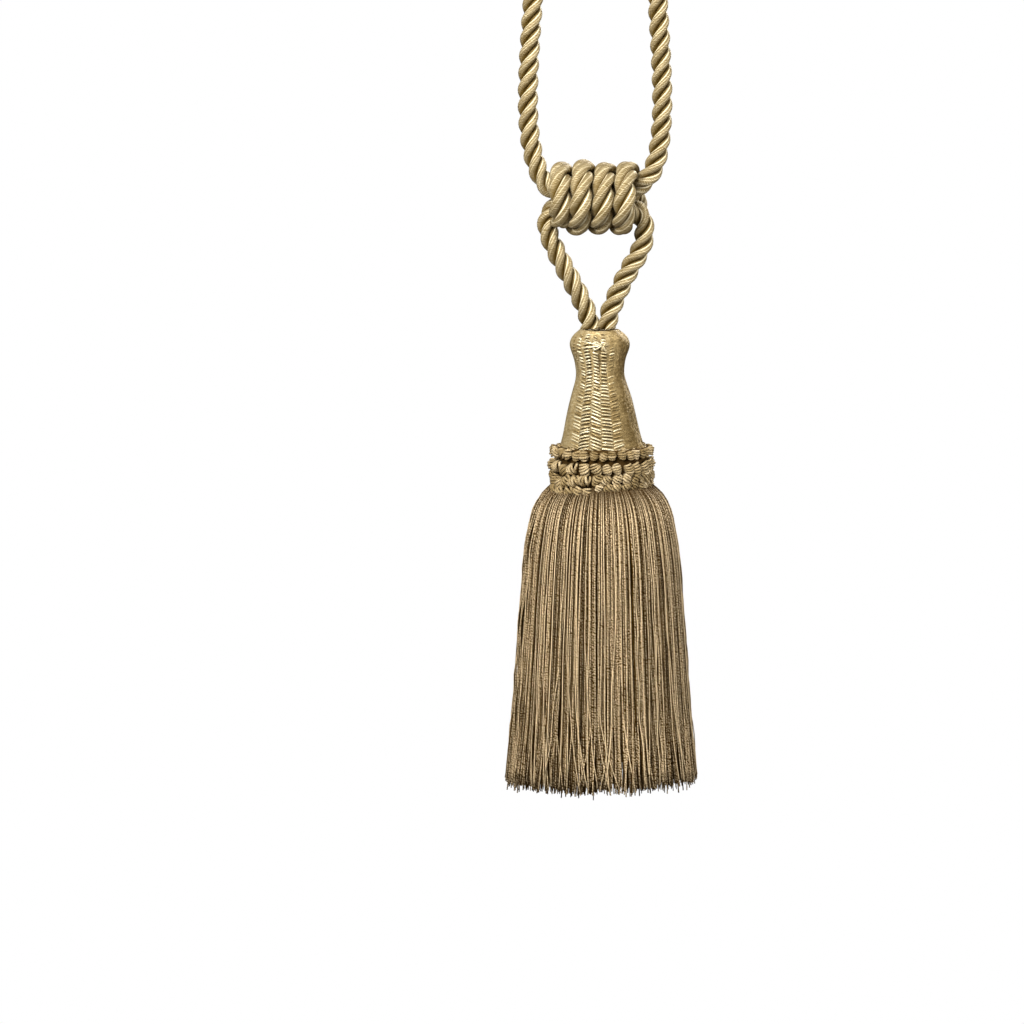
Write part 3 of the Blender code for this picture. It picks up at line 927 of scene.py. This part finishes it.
def stitch_threads(cover, settings, rng):
    """The columns of short stitches, as thread paths, radii, tones and painted light, less at a stitch's
    ends.

    Each stitch lies across its column: the half width times the sine of a quarter turn times t to the side,
    for t from -1 to 1, a slant that changes side from column to column, and bows of 1 - t^2 up and outwards.
    It is thickest in its middle.
    """
    wales = settings.wales
    last = along(cover[:, :2])[-1] - STITCH_HEM
    rows = int((last - STITCH_FROM) / settings.stitch)
    wale = np.repeat(np.arange(wales), rows)
    shift = rng.uniform(0.0, 1.0, wales)[wale]
    run = STITCH_FROM + settings.stitch * (np.tile(np.arange(rows), wales) + shift)
    run = run + rng.normal(0.0, STITCH_JITTER, len(run))
    share = stitch_share(run, cover)
    radius = np.interp(run, along(cover[:, :2]), cover[:, 1])
    middle = FIRST_COLUMN_ANGLE + TAU * wale / wales
    half = 0.5 * TAU / wales * radius * column_fill(wale, share, wales)
    side = np.where(wale % 2 == 0, 1.0, -1.0)
    slant = side * rng.uniform(*STITCH_SLANT, wales)[wale] * rng.uniform(0.7, 1.3, len(run))
    bow = rng.uniform(*STITCH_BOW, wales)[wale]
    across, down = from_star(middle, run, radius)
    near = under_star(across, down, STITCHES_UNDER_STAR)
    front = front_share(middle, share)
    rise = STITCH_RISE - STITCH_SINK * (1.0 - front) - STITCH_DUCK * near
    rise = rise + rng.normal(0.0, STITCH_UNEVEN, len(run))
    t = np.linspace(-1.0, 1.0, STITCH_STATIONS)
    x = half[:, None] * np.sin(0.5 * math.pi * t)
    y = x * slant[:, None] - bow[:, None] * (1.0 - t ** 2)
    out = rise[:, None] - STITCH_CURL * t ** 2
    paths = on_cover(cover, middle[:, None] + x / radius[:, None], run[:, None] + y, out)
    taper = 1.0 - STITCH_TAPER * t ** 2 * (1.0 - 0.6 * share[:, None])
    radii = settings.thread * rng.uniform(0.88, 1.08, (len(run), 1)) * taper
    # Painted highlight on the stitches of the front and back, painted shade at the sides and on the right.
    tone = rng.normal(0.0, TONE_SPREAD, len(run)) + FRONT_PAINTED_HIGHLIGHT * (front - 0.35) + right_painted_shade(middle)
    # Painted shade towards both ends of each stitch.
    return paths, radii, tone, np.broadcast_to(1.0 - 0.55 * t ** 4, x.shape)


def star_threads(cover, settings, rng):
    """The satin strokes that radiate from the star: arcs of a sine outwards, tapered to both ends."""
    turns, lengths, tones = [], [], []
    for low, high, count, reach, tone in STAR_STROKES:
        turns.append(np.linspace(low, high, count) + rng.normal(0.0, 1.0, count))
        lengths.append(reach * rng.uniform(0.86, 1.06, count))
        tones.append(tone + rng.normal(0.0, 0.3, count))
    turn = np.radians(np.concatenate(turns))[:, None]
    reach = np.concatenate(lengths)[:, None]
    t = np.linspace(0.06, 1.0, STROKE_STATIONS)
    turn = turn + rng.normal(0.0, 0.05, turn.shape) * t
    radius = np.interp(STAR_RUN, along(cover[:, :2]), cover[:, 1])
    angle = STAR_ANGLE + reach * t * np.cos(turn) / radius
    run = STAR_RUN + reach * t * np.sin(turn)
    out = STROKE_RISE * np.sin(math.pi * np.minimum(t + 0.12, 1.0)) - STROKE_SINK * t ** 6 - STROKE_SINK
    out = out + STROKE_SINK * rng.uniform(0.4, 1.0, turn.shape)
    radii = STROKE_RADIUS * rng.uniform(0.8, 1.2, turn.shape) * (0.45 + 0.55 * np.sin(math.pi * t ** 0.8))
    return on_cover(cover, angle, run, out), radii, np.concatenate(tones), np.ones(angle.shape)


def cover_height(angle, run, radius, cover, wales):
    """How far the plain cover stands out, and how much painted light it keeps.

    It has a seam and a dimple at the star, and soft unevenness. Painted shade darkens them and a column's
    stitch gaps.
    """
    across, down = from_star(angle, run, radius)
    begins, ends = (
        np.clip(inside / edge, 0.0, 1.0) for inside, edge in zip((down, PARTING_LENGTH - down), PARTING_FADE)
    )
    sway = PARTING_SWAY * np.sin(run * PARTING_SWAY_RATE)
    seam = np.exp(-((across - PARTING_SHIFT - sway) / PARTING_WIDTH) ** 2) * begins * ends
    dimple = np.exp(-((across ** 2 + down ** 2) / DIMPLE_REACH ** 2))
    strokes = under_star(across, down, UNDER_STAR_REACH)
    soft = sum(height * np.sin(folds * angle + rate * run) for height, folds, rate in SOFT_FOLDS)
    top = np.clip((TOP_DARK_TO - run) / TOP_DARK_EDGE, 0.0, 1.0)
    wale = (angle - FIRST_COLUMN_ANGLE) * wales / TAU
    share = stitch_share(run, cover)
    nearest = np.round(wale)
    to_edge = 0.5 * column_fill(nearest, share, wales) - np.abs(wale - nearest)
    gaps = np.clip(to_edge / BETWEEN_EDGE, 0.0, 1.0) * front_share(angle, share) * (share > 0.0)
    darks = zip(COVER_SHADES, (seam, dimple, top, gaps, strokes))
    lit_share = np.prod([1.0 - shade * dark for shade, dark in darks], axis=0)
    return soft - PARTING_DEPTH * seam - DIMPLE_DEPTH * dimple - PATCH_DEPTH * strokes, lit_share


def lathe(rings, uv_rings):
    """A closed surface of rings of points, rows by columns by three, with one face at each pole."""
    rows, columns, _ = rings.shape
    number = np.arange(rows * columns).reshape(rows, columns)
    u, v = uv_rings[..., 0], uv_rings[..., 1]
    u_after = u + np.abs(np.roll(u, -1, axis=1) - u).min(axis=1, keepdims=True)
    caps = np.stack([number[0], number[-1, ::-1]])
    return surface(rings, number, (u, u_after), (v, v), caps, np.zeros((2, columns, 2)), down=True)


def head_material(settings):
    """Satin yarn in stitches: filaments along each stitch, soft blotches, painted shade between the
    stitches.
    """
    def build(graph, u, v):
        sizes = {"Pitch": settings.filament, "Slant": 0.10, "Mottle": 0.0012, "Reach": 0.0060}
        ridge, streak = filament_on(graph, v, u, **sizes)
        place = graph.node("ShaderNodeTexCoord").outputs["Object"]
        blotch = graph.noise(place, scale=620.0, detail=2.0)
        broad = graph.noise(place, scale=110.0, detail=1.0)
        lift = graph.math("ADD", graph.swing(broad, 0.30), graph.swing(blotch, 0.36))
        # The tone mark holds each stitch's own tone with its painted highlight and painted shade.
        lift = graph.math("MULTIPLY_ADD", graph.mark("tone"), 0.30, lift)
        height = graph.math("MULTIPLY_ADD", blotch, 3.0, ridge)
        return {"Streak": streak, "Ridge": ridge, "Open": graph.mark("open"), "Lift": lift,
                "Height": height, "Distance": 0.00016, "Strength": 0.7, "Contrast": 0.8, "Ribs": 0.3}
    return yarn_material("Head cover yarn", settings, 0.34, 0.34, build)


class TIEBACK_OT_head(bpy.types.Operator):
    """The head's stitched cover over its mould, gathered into a star on the front"""

    bl_idname = "tieback.head"
    bl_label = "Head"

    def execute(self, context):
        settings = context.scene.tieback_head
        rng = np.random.default_rng(HEAD_SEED)
        over, under = head_outline()
        rows = np.concatenate([over, under])
        drop, radius, lean = (rows[:, k, None] for k in range(3))
        run = along(rows[:, :2])[:, None]
        columns = settings.wales * WALE_COLUMNS
        angle = TAU * np.arange(columns)[None] / columns
        angle, run, wide = np.broadcast_arrays(angle, run, radius)
        height, lit_share = cover_height(angle, run, wide, over, settings.wales)
        height = height * (np.arange(len(rows))[:, None] < len(over))
        slope = unit(np.gradient(rows[:, :2], axis=0))
        places = around(radius + height * slope[:, 0, None], angle, drop - height * slope[:, 1, None], lean)
        cover = lathe(places, np.stack([radius.max() * angle, run], axis=-1))
        parts = [cover]
        # The plain cover's tone is only the painted shade on its right.
        tones = [right_painted_shade(angle).ravel()]
        lit_shares = [lit_share.ravel()]
        for threads, turn in ((stitch_threads, STITCH_TURN), (star_threads, 0.0)):
            paths, radii, tone, lit = threads(over, settings, rng)
            outward = unit(paths * np.array([1.0, 1.0, 0.0]))
            parts.append(sweep(paths, radii, outward, STITCH_SIDES, rng.uniform(0.0, 1.0, len(paths))))
            tones.append(np.repeat(tone, paths.shape[1] * STITCH_SIDES))
            lit_shares.append((lit[..., None] * lit_ring(STITCH_SIDES, turn, LEAST_PAINTED_LIGHT)).ravel())
        marks = {"tone": np.concatenate(tones), "open": np.concatenate(lit_shares)}
        make_piece("head_cover", joined(parts), marks, head_material(settings), "head")
        return {"FINISHED"}


# Ruff.

RUFF_SEED = 5
RUFF_SIDES = 6
RUFF_STEPS = 8
RUFF_OUTLINE = (
    # drop, radius of the base that the knots are sewn to
    (0.0622, 0.0219),
    (0.0626, 0.0240),
    (0.0650, 0.0249),
    (0.0760, 0.0255),
    (0.0826, 0.0254),
    (0.0842, 0.0246),
    (0.0840, 0.0236),
    (0.0800, 0.0222),
)
RUFF_BASE_SEGMENTS = 108
# Painted light along each wrap: full in its middle, painted shade towards both ends.
WRAP_PAINTED_LIGHT = np.clip(1.5 * np.cos(np.linspace(-1.5, 1.5, RUFF_STEPS)), 0.0, 1.0)
TANGLE_AT = -0.75  # radians from the front to the middle of the tangled knots, and their reach
TANGLE_REACH = 0.55
FLAT_AT = 1.15  # the same for the knots that are pressed flat
FLAT_REACH = 0.50
KNOT_UNEVEN = 0.00035  # how much the knots of a row differ in height
KNOT_HALF_WIDTH = 0.43  # of the spacing
TILT_SPREAD = 12.0  # degrees by which knots tilt, and how many more where they are tangled
TANGLE_TILT = 38.0
WRAP_BEND = (0.0005, 0.0004)  # how far a knot's wraps bow down, and how much knots differ in that
WRAP_SINK = 0.0003  # how deep a wrap's ends lie in the base
WRAP_UNEVEN = 0.00014


def ruff_base():
    """The ruff's base as a closed ring: its outline carried round the axis."""
    outline = np.array(RUFF_OUTLINE)
    angle = TAU * np.arange(RUFF_BASE_SEGMENTS) / RUFF_BASE_SEGMENTS
    rings = around(outline[:, 1, None], angle[None], outline[:, 0, None])
    number = np.arange(rings[..., 0].size).reshape(rings.shape[:2])
    quads = facets(np.concatenate([number, number[:1]]), down=True).reshape(-1, 4)
    return rings.reshape(-1, 3), [quads], [np.zeros((len(quads), 4, 2))]


def ruff_row(row, settings, rng):
    """One row of knots as thread paths, their tones and how tangled they lie.

    A knot is a few wraps side by side over a ball. A wrap goes half round it, its half width times sin(t) to
    the side and the bulge times cos(t) outwards, both less in the outer wraps by the root of 1 - order^2,
    and the wraps close in on the ball's two ends.
    On the left of the front the knots are tangled: they tilt more and the row sags. On its right they are
    pressed flat into one another.
    """
    drop, knots, wraps, height, bulge, slant, sag, inset = row
    middle = TAU * (np.arange(knots) + rng.uniform(0.0, 1.0) + rng.uniform(-0.12, 0.12, knots)) / knots
    from_front = wrapped(middle + 0.5 * math.pi)
    tangle = plateau(from_front - TANGLE_AT, TANGLE_REACH)
    flat = plateau(from_front - FLAT_AT, FLAT_REACH)[:, None, None]
    level = drop + rng.normal(0.0, KNOT_UNEVEN, knots) + sag * tangle
    spacing = TAU * settings.base_radius / knots
    t = np.linspace(-1.0, 1.0, RUFF_STEPS)
    order = (np.arange(wraps) + 0.5) / wraps * 2.0 - 1.0
    tilt = np.radians(slant + rng.normal(0.0, TILT_SPREAD + TANGLE_TILT * tangle, knots))[:, None, None]
    ball = np.sqrt(1.0 - (0.90 * order) ** 2)[None, :, None]
    ball = ball + 0.8 * flat * (1.0 - ball)
    bulge = bulge * (1.0 - 0.30 * flat)
    size = (rng.uniform(0.93, 1.07, knots) * (1.0 + 0.12 * tangle))[:, None, None] + 0.10 * flat
    cross = 0.5 * math.pi * t
    x = KNOT_HALF_WIDTH * spacing * ball * size * np.sin(cross)
    bend = rng.normal(*WRAP_BEND, (knots, 1, 1))
    y = 0.5 * height * order[None, :, None] * size * (0.5 + 0.5 * np.cos(cross)) + bend * np.cos(cross)
    y = y + rng.normal(0.0, 0.00012 + 0.0005 * tangle[:, None, None], (knots, wraps, 1)) * np.sin(cross)
    x, y = x * np.cos(tilt) - y * np.sin(tilt), x * np.sin(tilt) + y * np.cos(tilt)
    out = bulge * ball * size * np.cos(cross) ** 0.8 - WRAP_SINK
    out = out + rng.normal(0.0, WRAP_UNEVEN, (knots, wraps, 1))
    radius = settings.base_radius - inset + out + 0.8 * sag * tangle[:, None, None]
    angle = middle[:, None, None] + x / settings.base_radius
    paths = around(radius, angle, level[:, None, None] + y).reshape(-1, RUFF_STEPS, 3)
    tone = (rng.normal(0.0, 0.45, (knots, 1)) + rng.normal(0.0, 0.35, (knots, wraps))).ravel()
    return paths, tone, np.repeat(tangle, wraps)


def ruff_material(settings):
    """Soft matt yarn in fat wraps."""
    filament = {"Pitch": 0.0007, "Slant": 0.9, "Mottle": 0.0016, "Reach": 0.0030}
    look = {"Distance": 0.00018, "Strength": 0.8, "Contrast": 0.9, "Ribs": 0.5}
    return thread_yarn("Ruff yarn", settings, 0.40, 0.20, filament, 0.28, look)


class TIEBACK_OT_ruff(bpy.types.Operator):
    """The ruff: four rows of wrapped knots and a small one behind the first, on their base"""

    bl_idname = "tieback.ruff"
    bl_label = "Ruff"

    def execute(self, context):
        settings = context.scene.tieback_ruff
        rng = np.random.default_rng(RUFF_SEED)
        rows = [ruff_row(row, settings, rng) for row in RUFF_ROWS]
        paths, tone, tangle = (np.concatenate(values) for values in zip(*rows))
        thick = settings.thread * (1.0 + 0.22 * tangle) * rng.uniform(0.85, 1.12, len(paths))
        radii = np.repeat(thick[:, None], RUFF_STEPS, axis=1)
        outward = paths * np.array([1.0, 1.0, 0.0])
        wraps = sweep(paths, radii, unit(outward), RUFF_SIDES, rng.uniform(0.0, 1.0, len(paths)))
        base = ruff_base()
        # The base is painted wholly in shade, in the deep colour, and gets no lift of tone.
        plain = np.zeros(len(base[0]))
        wrap_painted_light = np.tile(np.repeat(WRAP_PAINTED_LIGHT, RUFF_SIDES), len(paths))
        marks = {
            "tone": np.concatenate([np.repeat(tone, RUFF_STEPS * RUFF_SIDES), plain]),
            "open": np.concatenate([wrap_painted_light, plain]),
        }
        make_piece("ruff_knots", joined([wraps, base]), marks, ruff_material(settings), "ruff")
        return {"FINISHED"}


# Skirt.

SKIRT_TUFTS = 60  # broad tufts that the fringe parts into
SKIRT_LOCKS = 160  # fine locks of a few threads each
SKIRT_STATION_POWER = 1.3
SKIRT_LAYERS = (
    # name, threads, sides of a thread, stations along it, least and most inset, pull into locks,
    # bend low down in radians, mean tone (painted lightest in front, darker in the second and third layers),
    # seed
    ("front", 150, 6, 30, -0.06, 0.00, 0.04, 0.070, 2.40, 21),
    ("outer", 300, 6, 24, 0.02, 0.08, 0.16, 0.045, 0.00, 22),
    ("second", 520, 5, 18, 0.10, 0.22, 0.12, 0.025, -0.30, 23),
    ("third", 760, 4, 14, 0.26, 0.60, 0.10, 0.010, -0.40, 24),
    ("inner", 820, 4, 12, 0.60, 1.00, 0.0, 0.0, 0.00, 25),
)
UNEVEN_MIDDLES = 0.3  # how unevenly the locks and tufts stand round the axis, in their own widths
PROUD = (0.00028, 0.00018)  # how much locks and tufts differ in how far they stand out
LEAN = (0.012, 0.008)  # and in how they lean, in radians
THREAD_LEAN = 0.012
WAVES = (
    # fewest and most waves along a thread, their swing in radians
    (0.7, 2.0, 0.008),
    (2.5, 6.0, 0.004),
)
BEND_FROM = (0.45, 0.85)  # shares of the way down in which threads start to bend
RIPPLE = 0.00025  # how far the shorter waves go in and out
KICK = 0.0022  # how far a kicked end stands outwards at most
KICK_FROM = 0.85  # and the share of the way down from which it does
KICKED_SHARE = 0.05  # of the threads, those whose cut end is kicked
END_RAISE = 0.0030  # how much higher most threads end than the outline does
END_TILT = 0.0008  # and how much more on the right
TUFT_UNEVEN = 0.0008  # how much tufts differ in length
PAINTED_SHADE_DEPTH = 0.0018  # this deep in the fringe its threads are painted in shade
LOOSE_END = 0.9  # and this share deeper at the cut ends
SHADED_TO = 0.03  # the share of the way down up to which the ruff shades them
SHADE_EDGE = 0.09  # and the share over which that ends
TOP_SHADE = 0.05  # how open they lie there
LEFT_PAINTED_SHADE = 0.8  # how much darker the threads on the left are painted, as painted shade


def skirt_outline(stations):
    """Drop, radius and thickness of the fringe at stations that stand closer near its top."""
    curve = natural_spline(np.array(SKIRT_OUTLINE))
    run = along(curve[:, :2])
    at = run[-1] * np.linspace(0.0, 1.0, stations) ** SKIRT_STATION_POWER
    return [np.interp(at, run, curve[:, k]) for k in range(3)]


def drawn_together(angle, count, pull):
    """How far each angle moves towards the nearest of some middles round the axis, and which one that is."""
    width = TAU / count
    uneven = UNEVEN_MIDDLES * np.sin(3.0 * angle)
    index = np.round(angle / width + uneven).astype(int) % count
    return pull * wrapped(width * (index - uneven) - angle), index


def fringe(count, stations, insets, pull, bend, settings, rng):
    """Fringe threads as paths, radii, angles and painted light: painted shade deep in the fringe and under
    the ruff.

    A thread keeps its inset from the outline, a share of the thickness. Round the axis it is drawn into its
    lock and its tuft, leans with them and waves a little, all growing with the share of the way down. From
    somewhere in its lower half it bends to one side, and a few cut ends stand outwards.
    """
    each = (count, 1)
    drop, radius, thickness = skirt_outline(stations)
    share = np.linspace(0.0, 1.0, stations) ** SKIRT_STATION_POWER
    start = TAU * (np.arange(count) + rng.uniform(-0.5, 0.5, count)) / count
    to_lock, lock = drawn_together(start, SKIRT_LOCKS, pull)
    to_tuft, tuft = drawn_together(start, SKIRT_TUFTS, 0.3 * pull)
    proud, lean = (
        rng.normal(0.0, of_locks, SKIRT_LOCKS)[lock] + rng.normal(0.0, of_tufts, SKIRT_TUFTS)[tuft]
        for of_locks, of_tufts in (PROUD, LEAN)
    )
    lean = lean + rng.normal(0.0, THREAD_LEAN, count)
    slow, quick = (
        np.sin(TAU * (rng.uniform(fewest, most, each) * share + rng.uniform(0.0, 1.0, each)))
        for fewest, most, _ in WAVES
    )
    wave = sum(rng.normal(0.0, swing, each) * sine for (_, _, swing), sine in zip(WAVES, (slow, quick)))
    angle = start[:, None] + to_lock[:, None] * np.minimum(1.0, 6.0 * share) + to_tuft[:, None] * share
    angle = angle + lean[:, None] * share ** 1.6 + wave * np.minimum(1.0, 0.15 + 1.4 * share)
    bend_from = rng.uniform(*BEND_FROM, each)
    bent = np.maximum(0.0, share - bend_from) / (1.0 - bend_from)
    angle = angle + rng.normal(0.0, bend, each) * bent ** 1.3
    kick = rng.uniform(0.0, KICK, each) * (rng.uniform(0.0, 1.0, each) < KICKED_SHARE)
    kicked = kick * np.maximum(0.0, share - KICK_FROM) / (1.0 - KICK_FROM)
    ripple = rng.normal(0.0, RIPPLE, each) * quick + kicked
    out = radius - insets[:, None] * thickness + proud[:, None] * np.minimum(1.0, 5.0 * share) + ripple
    uneven = rng.normal(0.0, settings.end_uneven, count) + rng.normal(0.0, TUFT_UNEVEN, SKIRT_TUFTS)[tuft]
    level = drop + (uneven - END_RAISE - END_TILT * np.cos(start))[:, None] * share ** 4
    radii = settings.thread * rng.uniform(0.80, 1.20, each) * (0.74 + 0.26 * np.minimum(1.0, 7.0 * share))
    # Painted shade under the ruff near the top, and deep in the fringe from outside and from inside.
    shaded = np.clip((share - SHADED_TO) / SHADE_EDGE, TOP_SHADE, 1.0)
    depth = PAINTED_SHADE_DEPTH * (1.0 + LOOSE_END * share ** 2)
    outside = np.clip(1.0 - (radius - out) / depth, 0.0, 1.0) * shaded
    inside = np.clip(1.0 - (out - radius + thickness) / PAINTED_SHADE_DEPTH, 0.0, 1.0)
    return around(out, angle, level), radii, angle, np.maximum(outside, inside)


def skirt_material(settings):
    """Fine twisted threads, each with its own tone, painted in shade deep inside."""
    filament = {"Pitch": settings.twist, "Slant": 0.8, "Mottle": 0.0200, "Reach": 0.0100}
    look = {"Distance": 0.00022, "Strength": 0.9, "Contrast": 0.7, "Ribs": 1.4}
    return thread_yarn("Fringe yarn", settings, 0.36, 0.25, filament, 0.30, look)


def fringe_piece(layer, threads, sides, tone, settings, rng):
    """One layer of the fringe, its threads painted lightest outwards and in shade inwards; the inner layer's
    reversed.
    """
    paths, radii, angle, lit_share = threads
    side = np.stack([-np.sin(angle), np.cos(angle), 0.0 * angle], axis=-1)
    shape = sweep(paths, radii, side, sides, rng.uniform(0.0, 4.0, len(paths)))
    turn = -0.5 * math.pi if layer == "inner" else 0.5 * math.pi
    marks = {
        "tone": np.repeat(tone, paths.shape[1] * sides),
        "open": (lit_share[..., None] * lit_ring(sides, turn, least=0.04, mean=0.22, swing=0.95)).ravel(),
    }
    make_piece(f"skirt_threads_{layer}", shape, marks, skirt_material(settings), "skirt")


class TIEBACK_OT_skirt(bpy.types.Operator):
    """The fringe skirt: layers of hanging threads, the front ones painted lightest"""

    bl_idname = "tieback.skirt"
    bl_label = "Skirt"

    def execute(self, context):
        settings = context.scene.tieback_skirt
        for layer, count, sides, stations, least, most, pull, bend, mean_tone, seed in SKIRT_LAYERS:
            rng = np.random.default_rng(seed)
            insets = rng.uniform(least, most, count)
            threads = fringe(count, stations, insets, pull, bend, settings, rng)
            # Painted shade on the threads on the left, below each thread's tone and its layer's mean.
            left = np.clip(-np.cos(threads[2][:, 0]), 0.0, 1.0)
            tone = rng.normal(mean_tone, 0.8, count) - LEFT_PAINTED_SHADE * left ** 2
            fringe_piece(layer, threads, sides, tone, settings, rng)
        return {"FINISHED"}


# Stage.

LIGHTS = (
    # name, place, size, watts, colour
    ("key", (-0.44, -0.64, -0.03), 0.18, 8.0, (1.0, 0.975, 0.93)),
    ("front", (-0.30, -1.20, -0.05), 0.45, 5.0, (1.0, 0.98, 0.95)),
    ("right", (1.02, -0.20, -0.15), 0.36, 9.5, (1.0, 0.98, 0.95)),
    ("top", (-0.20, -0.70, 0.40), 0.30, 11.0, (1.0, 0.985, 0.95)),
    ("rear", (0.50, 1.20, 0.20), 0.70, 18.0, (1.0, 0.98, 0.95)),
)
WHITE = (1.0, 1.0, 1.0)
VIEW_END = 50.0
FLOOR_RADIUS = 0.7
FLOOR_SEGMENTS = 64
PAPER_SHADE = 0.97  # the darker grain of the floor, as a share of its colour
WORLD_LIGHT = 0.04
WORLD_SEEN = 1.0


class TIEBACK_OT_stage(bpy.types.Operator):
    """Pale floor, soft lights and the camera"""

    bl_idname = "tieback.stage"
    bl_label = "Floor, lights and camera"

    def execute(self, context):
        settings = context.scene.tieback_stage
        scene = context.scene
        scene.view_settings.view_transform = "Standard"
        aim = Vector((settings.aim_x, 0.0, settings.aim_z))
        back = Vector((0.0, -math.cos(settings.elevation), math.sin(settings.elevation)))
        data = bpy.data.cameras.new("camera")
        data.lens = settings.camera_distance / settings.picture_width * data.sensor_width
        data.clip_end = VIEW_END
        camera = bpy.data.objects.new("camera", data)
        camera.location = aim + back * settings.camera_distance
        camera.rotation_euler = back.to_track_quat("Z", "Y").to_euler()
        scene.collection.objects.link(camera)
        scene.camera = camera
        floor(settings)
        for light in LIGHTS:
            area_light(*light, aim)
        studio_world(scene)
        return {"FINISHED"}


def area_light(name, place, size, watts, tint, aim):
    """A square soft light that looks at the tassel."""
    data = bpy.data.lights.new(name, "AREA")
    data.size = size
    data.energy = watts
    data.color = tint
    light = bpy.data.objects.new(name, data)
    light.location = place
    light.rotation_euler = (Vector(place) - aim).to_track_quat("Z", "Y").to_euler()
    bpy.context.scene.collection.objects.link(light)


def studio_world(scene):
    """White for the camera, and a softer white for the light that it gives."""
    world = bpy.data.worlds.new("studio")
    world.use_nodes = True
    graph = Graph(world.node_tree)
    seen = graph.node("ShaderNodeLightPath").outputs["Is Camera Ray"]
    strength = graph.math("MULTIPLY_ADD", seen, WORLD_SEEN - WORLD_LIGHT, WORLD_LIGHT)
    graph.put(world.node_tree.nodes["Background"].inputs["Strength"], strength)
    world.node_tree.nodes["Background"].inputs["Color"].default_value = rgba(WHITE)
    scene.world = world


def floor(settings):
    """A pale disc under the tassel, seen from above only."""
    data = bpy.data.meshes.new("floor")
    angle = TAU * np.arange(FLOOR_SEGMENTS) / FLOOR_SEGMENTS
    ring = around(FLOOR_RADIUS, angle, HEAD_TOP_Z - settings.floor_z)
    data.from_pydata(ring.tolist(), [], [list(range(FLOOR_SEGMENTS))])
    material = bpy.data.materials.new("Pale paper")
    material.use_nodes = True
    graph = Graph(material.node_tree)
    shader = material.node_tree.nodes["Principled BSDF"]
    shader.inputs["Roughness"].default_value = 0.9
    place = graph.node("ShaderNodeTexCoord").outputs["Object"]
    grain = graph.noise(place, scale=60.0, detail=4.0)
    shade = [PAPER_SHADE * channel for channel in settings.paper]
    graph.put(shader.inputs["Base Color"], graph.mix(grain, rgba(shade), rgba(settings.paper)))
    clear = graph.node("ShaderNodeBsdfTransparent").outputs[0]
    under = graph.node("ShaderNodeNewGeometry").outputs["Backfacing"]
    both = graph.node("ShaderNodeMixShader")
    graph.put(both.inputs[0], under)
    graph.put(both.inputs[1], shader.outputs[0])
    graph.put(both.inputs[2], clear)
    graph.put(material.node_tree.nodes["Material Output"].inputs["Surface"], both.outputs[0])
    data.materials.append(material)
    disc = bpy.data.objects.new("floor", data)
    bpy.context.scene.collection.objects.link(disc)


# Panel and registration.

OPERATORS = (
    TIEBACK_OT_stage,
    TIEBACK_OT_loop_cord,
    TIEBACK_OT_slide_knot,
    TIEBACK_OT_head,
    TIEBACK_OT_ruff,
    TIEBACK_OT_skirt,
)


class TIEBACK_PT_panel(bpy.types.Panel):
    """The tieback's steps"""

    bl_idname = "TIEBACK_PT_panel"
    bl_label = "Tieback tassel"
    bl_space_type = "VIEW_3D"
    bl_region_type = "UI"
    bl_category = "Tieback"

    def draw(self, context):
        for step in OPERATORS:
            self.layout.operator(step.bl_idname)


SETTINGS = (
    ("tieback_stage", TiebackStageSettings),
    ("tieback_cord", TiebackCordSettings),
    ("tieback_head", TiebackHeadSettings),
    ("tieback_ruff", TiebackRuffSettings),
    ("tieback_skirt", TiebackSkirtSettings),
)
CLASSES = (*(kind for _, kind in SETTINGS), *OPERATORS, TIEBACK_PT_panel)


def register():
    """Add the classes and the scene's settings."""
    for kind in CLASSES:
        bpy.utils.register_class(kind)
    for name, kind in SETTINGS:
        setattr(bpy.types.Scene, name, PointerProperty(type=kind))


def unregister():
    """Take the settings and the classes away again."""
    for name, _ in SETTINGS:
        delattr(bpy.types.Scene, name)
    for kind in reversed(CLASSES):
        bpy.utils.unregister_class(kind)


def main():
    """Build every piece in order."""
    register()
    bpy.ops.tieback.stage()
    bpy.ops.tieback.loop_cord()
    bpy.ops.tieback.slide_knot()
    bpy.ops.tieback.head()
    bpy.ops.tieback.ruff()
    bpy.ops.tieback.skirt()


if __name__ == "__main__":
    main()
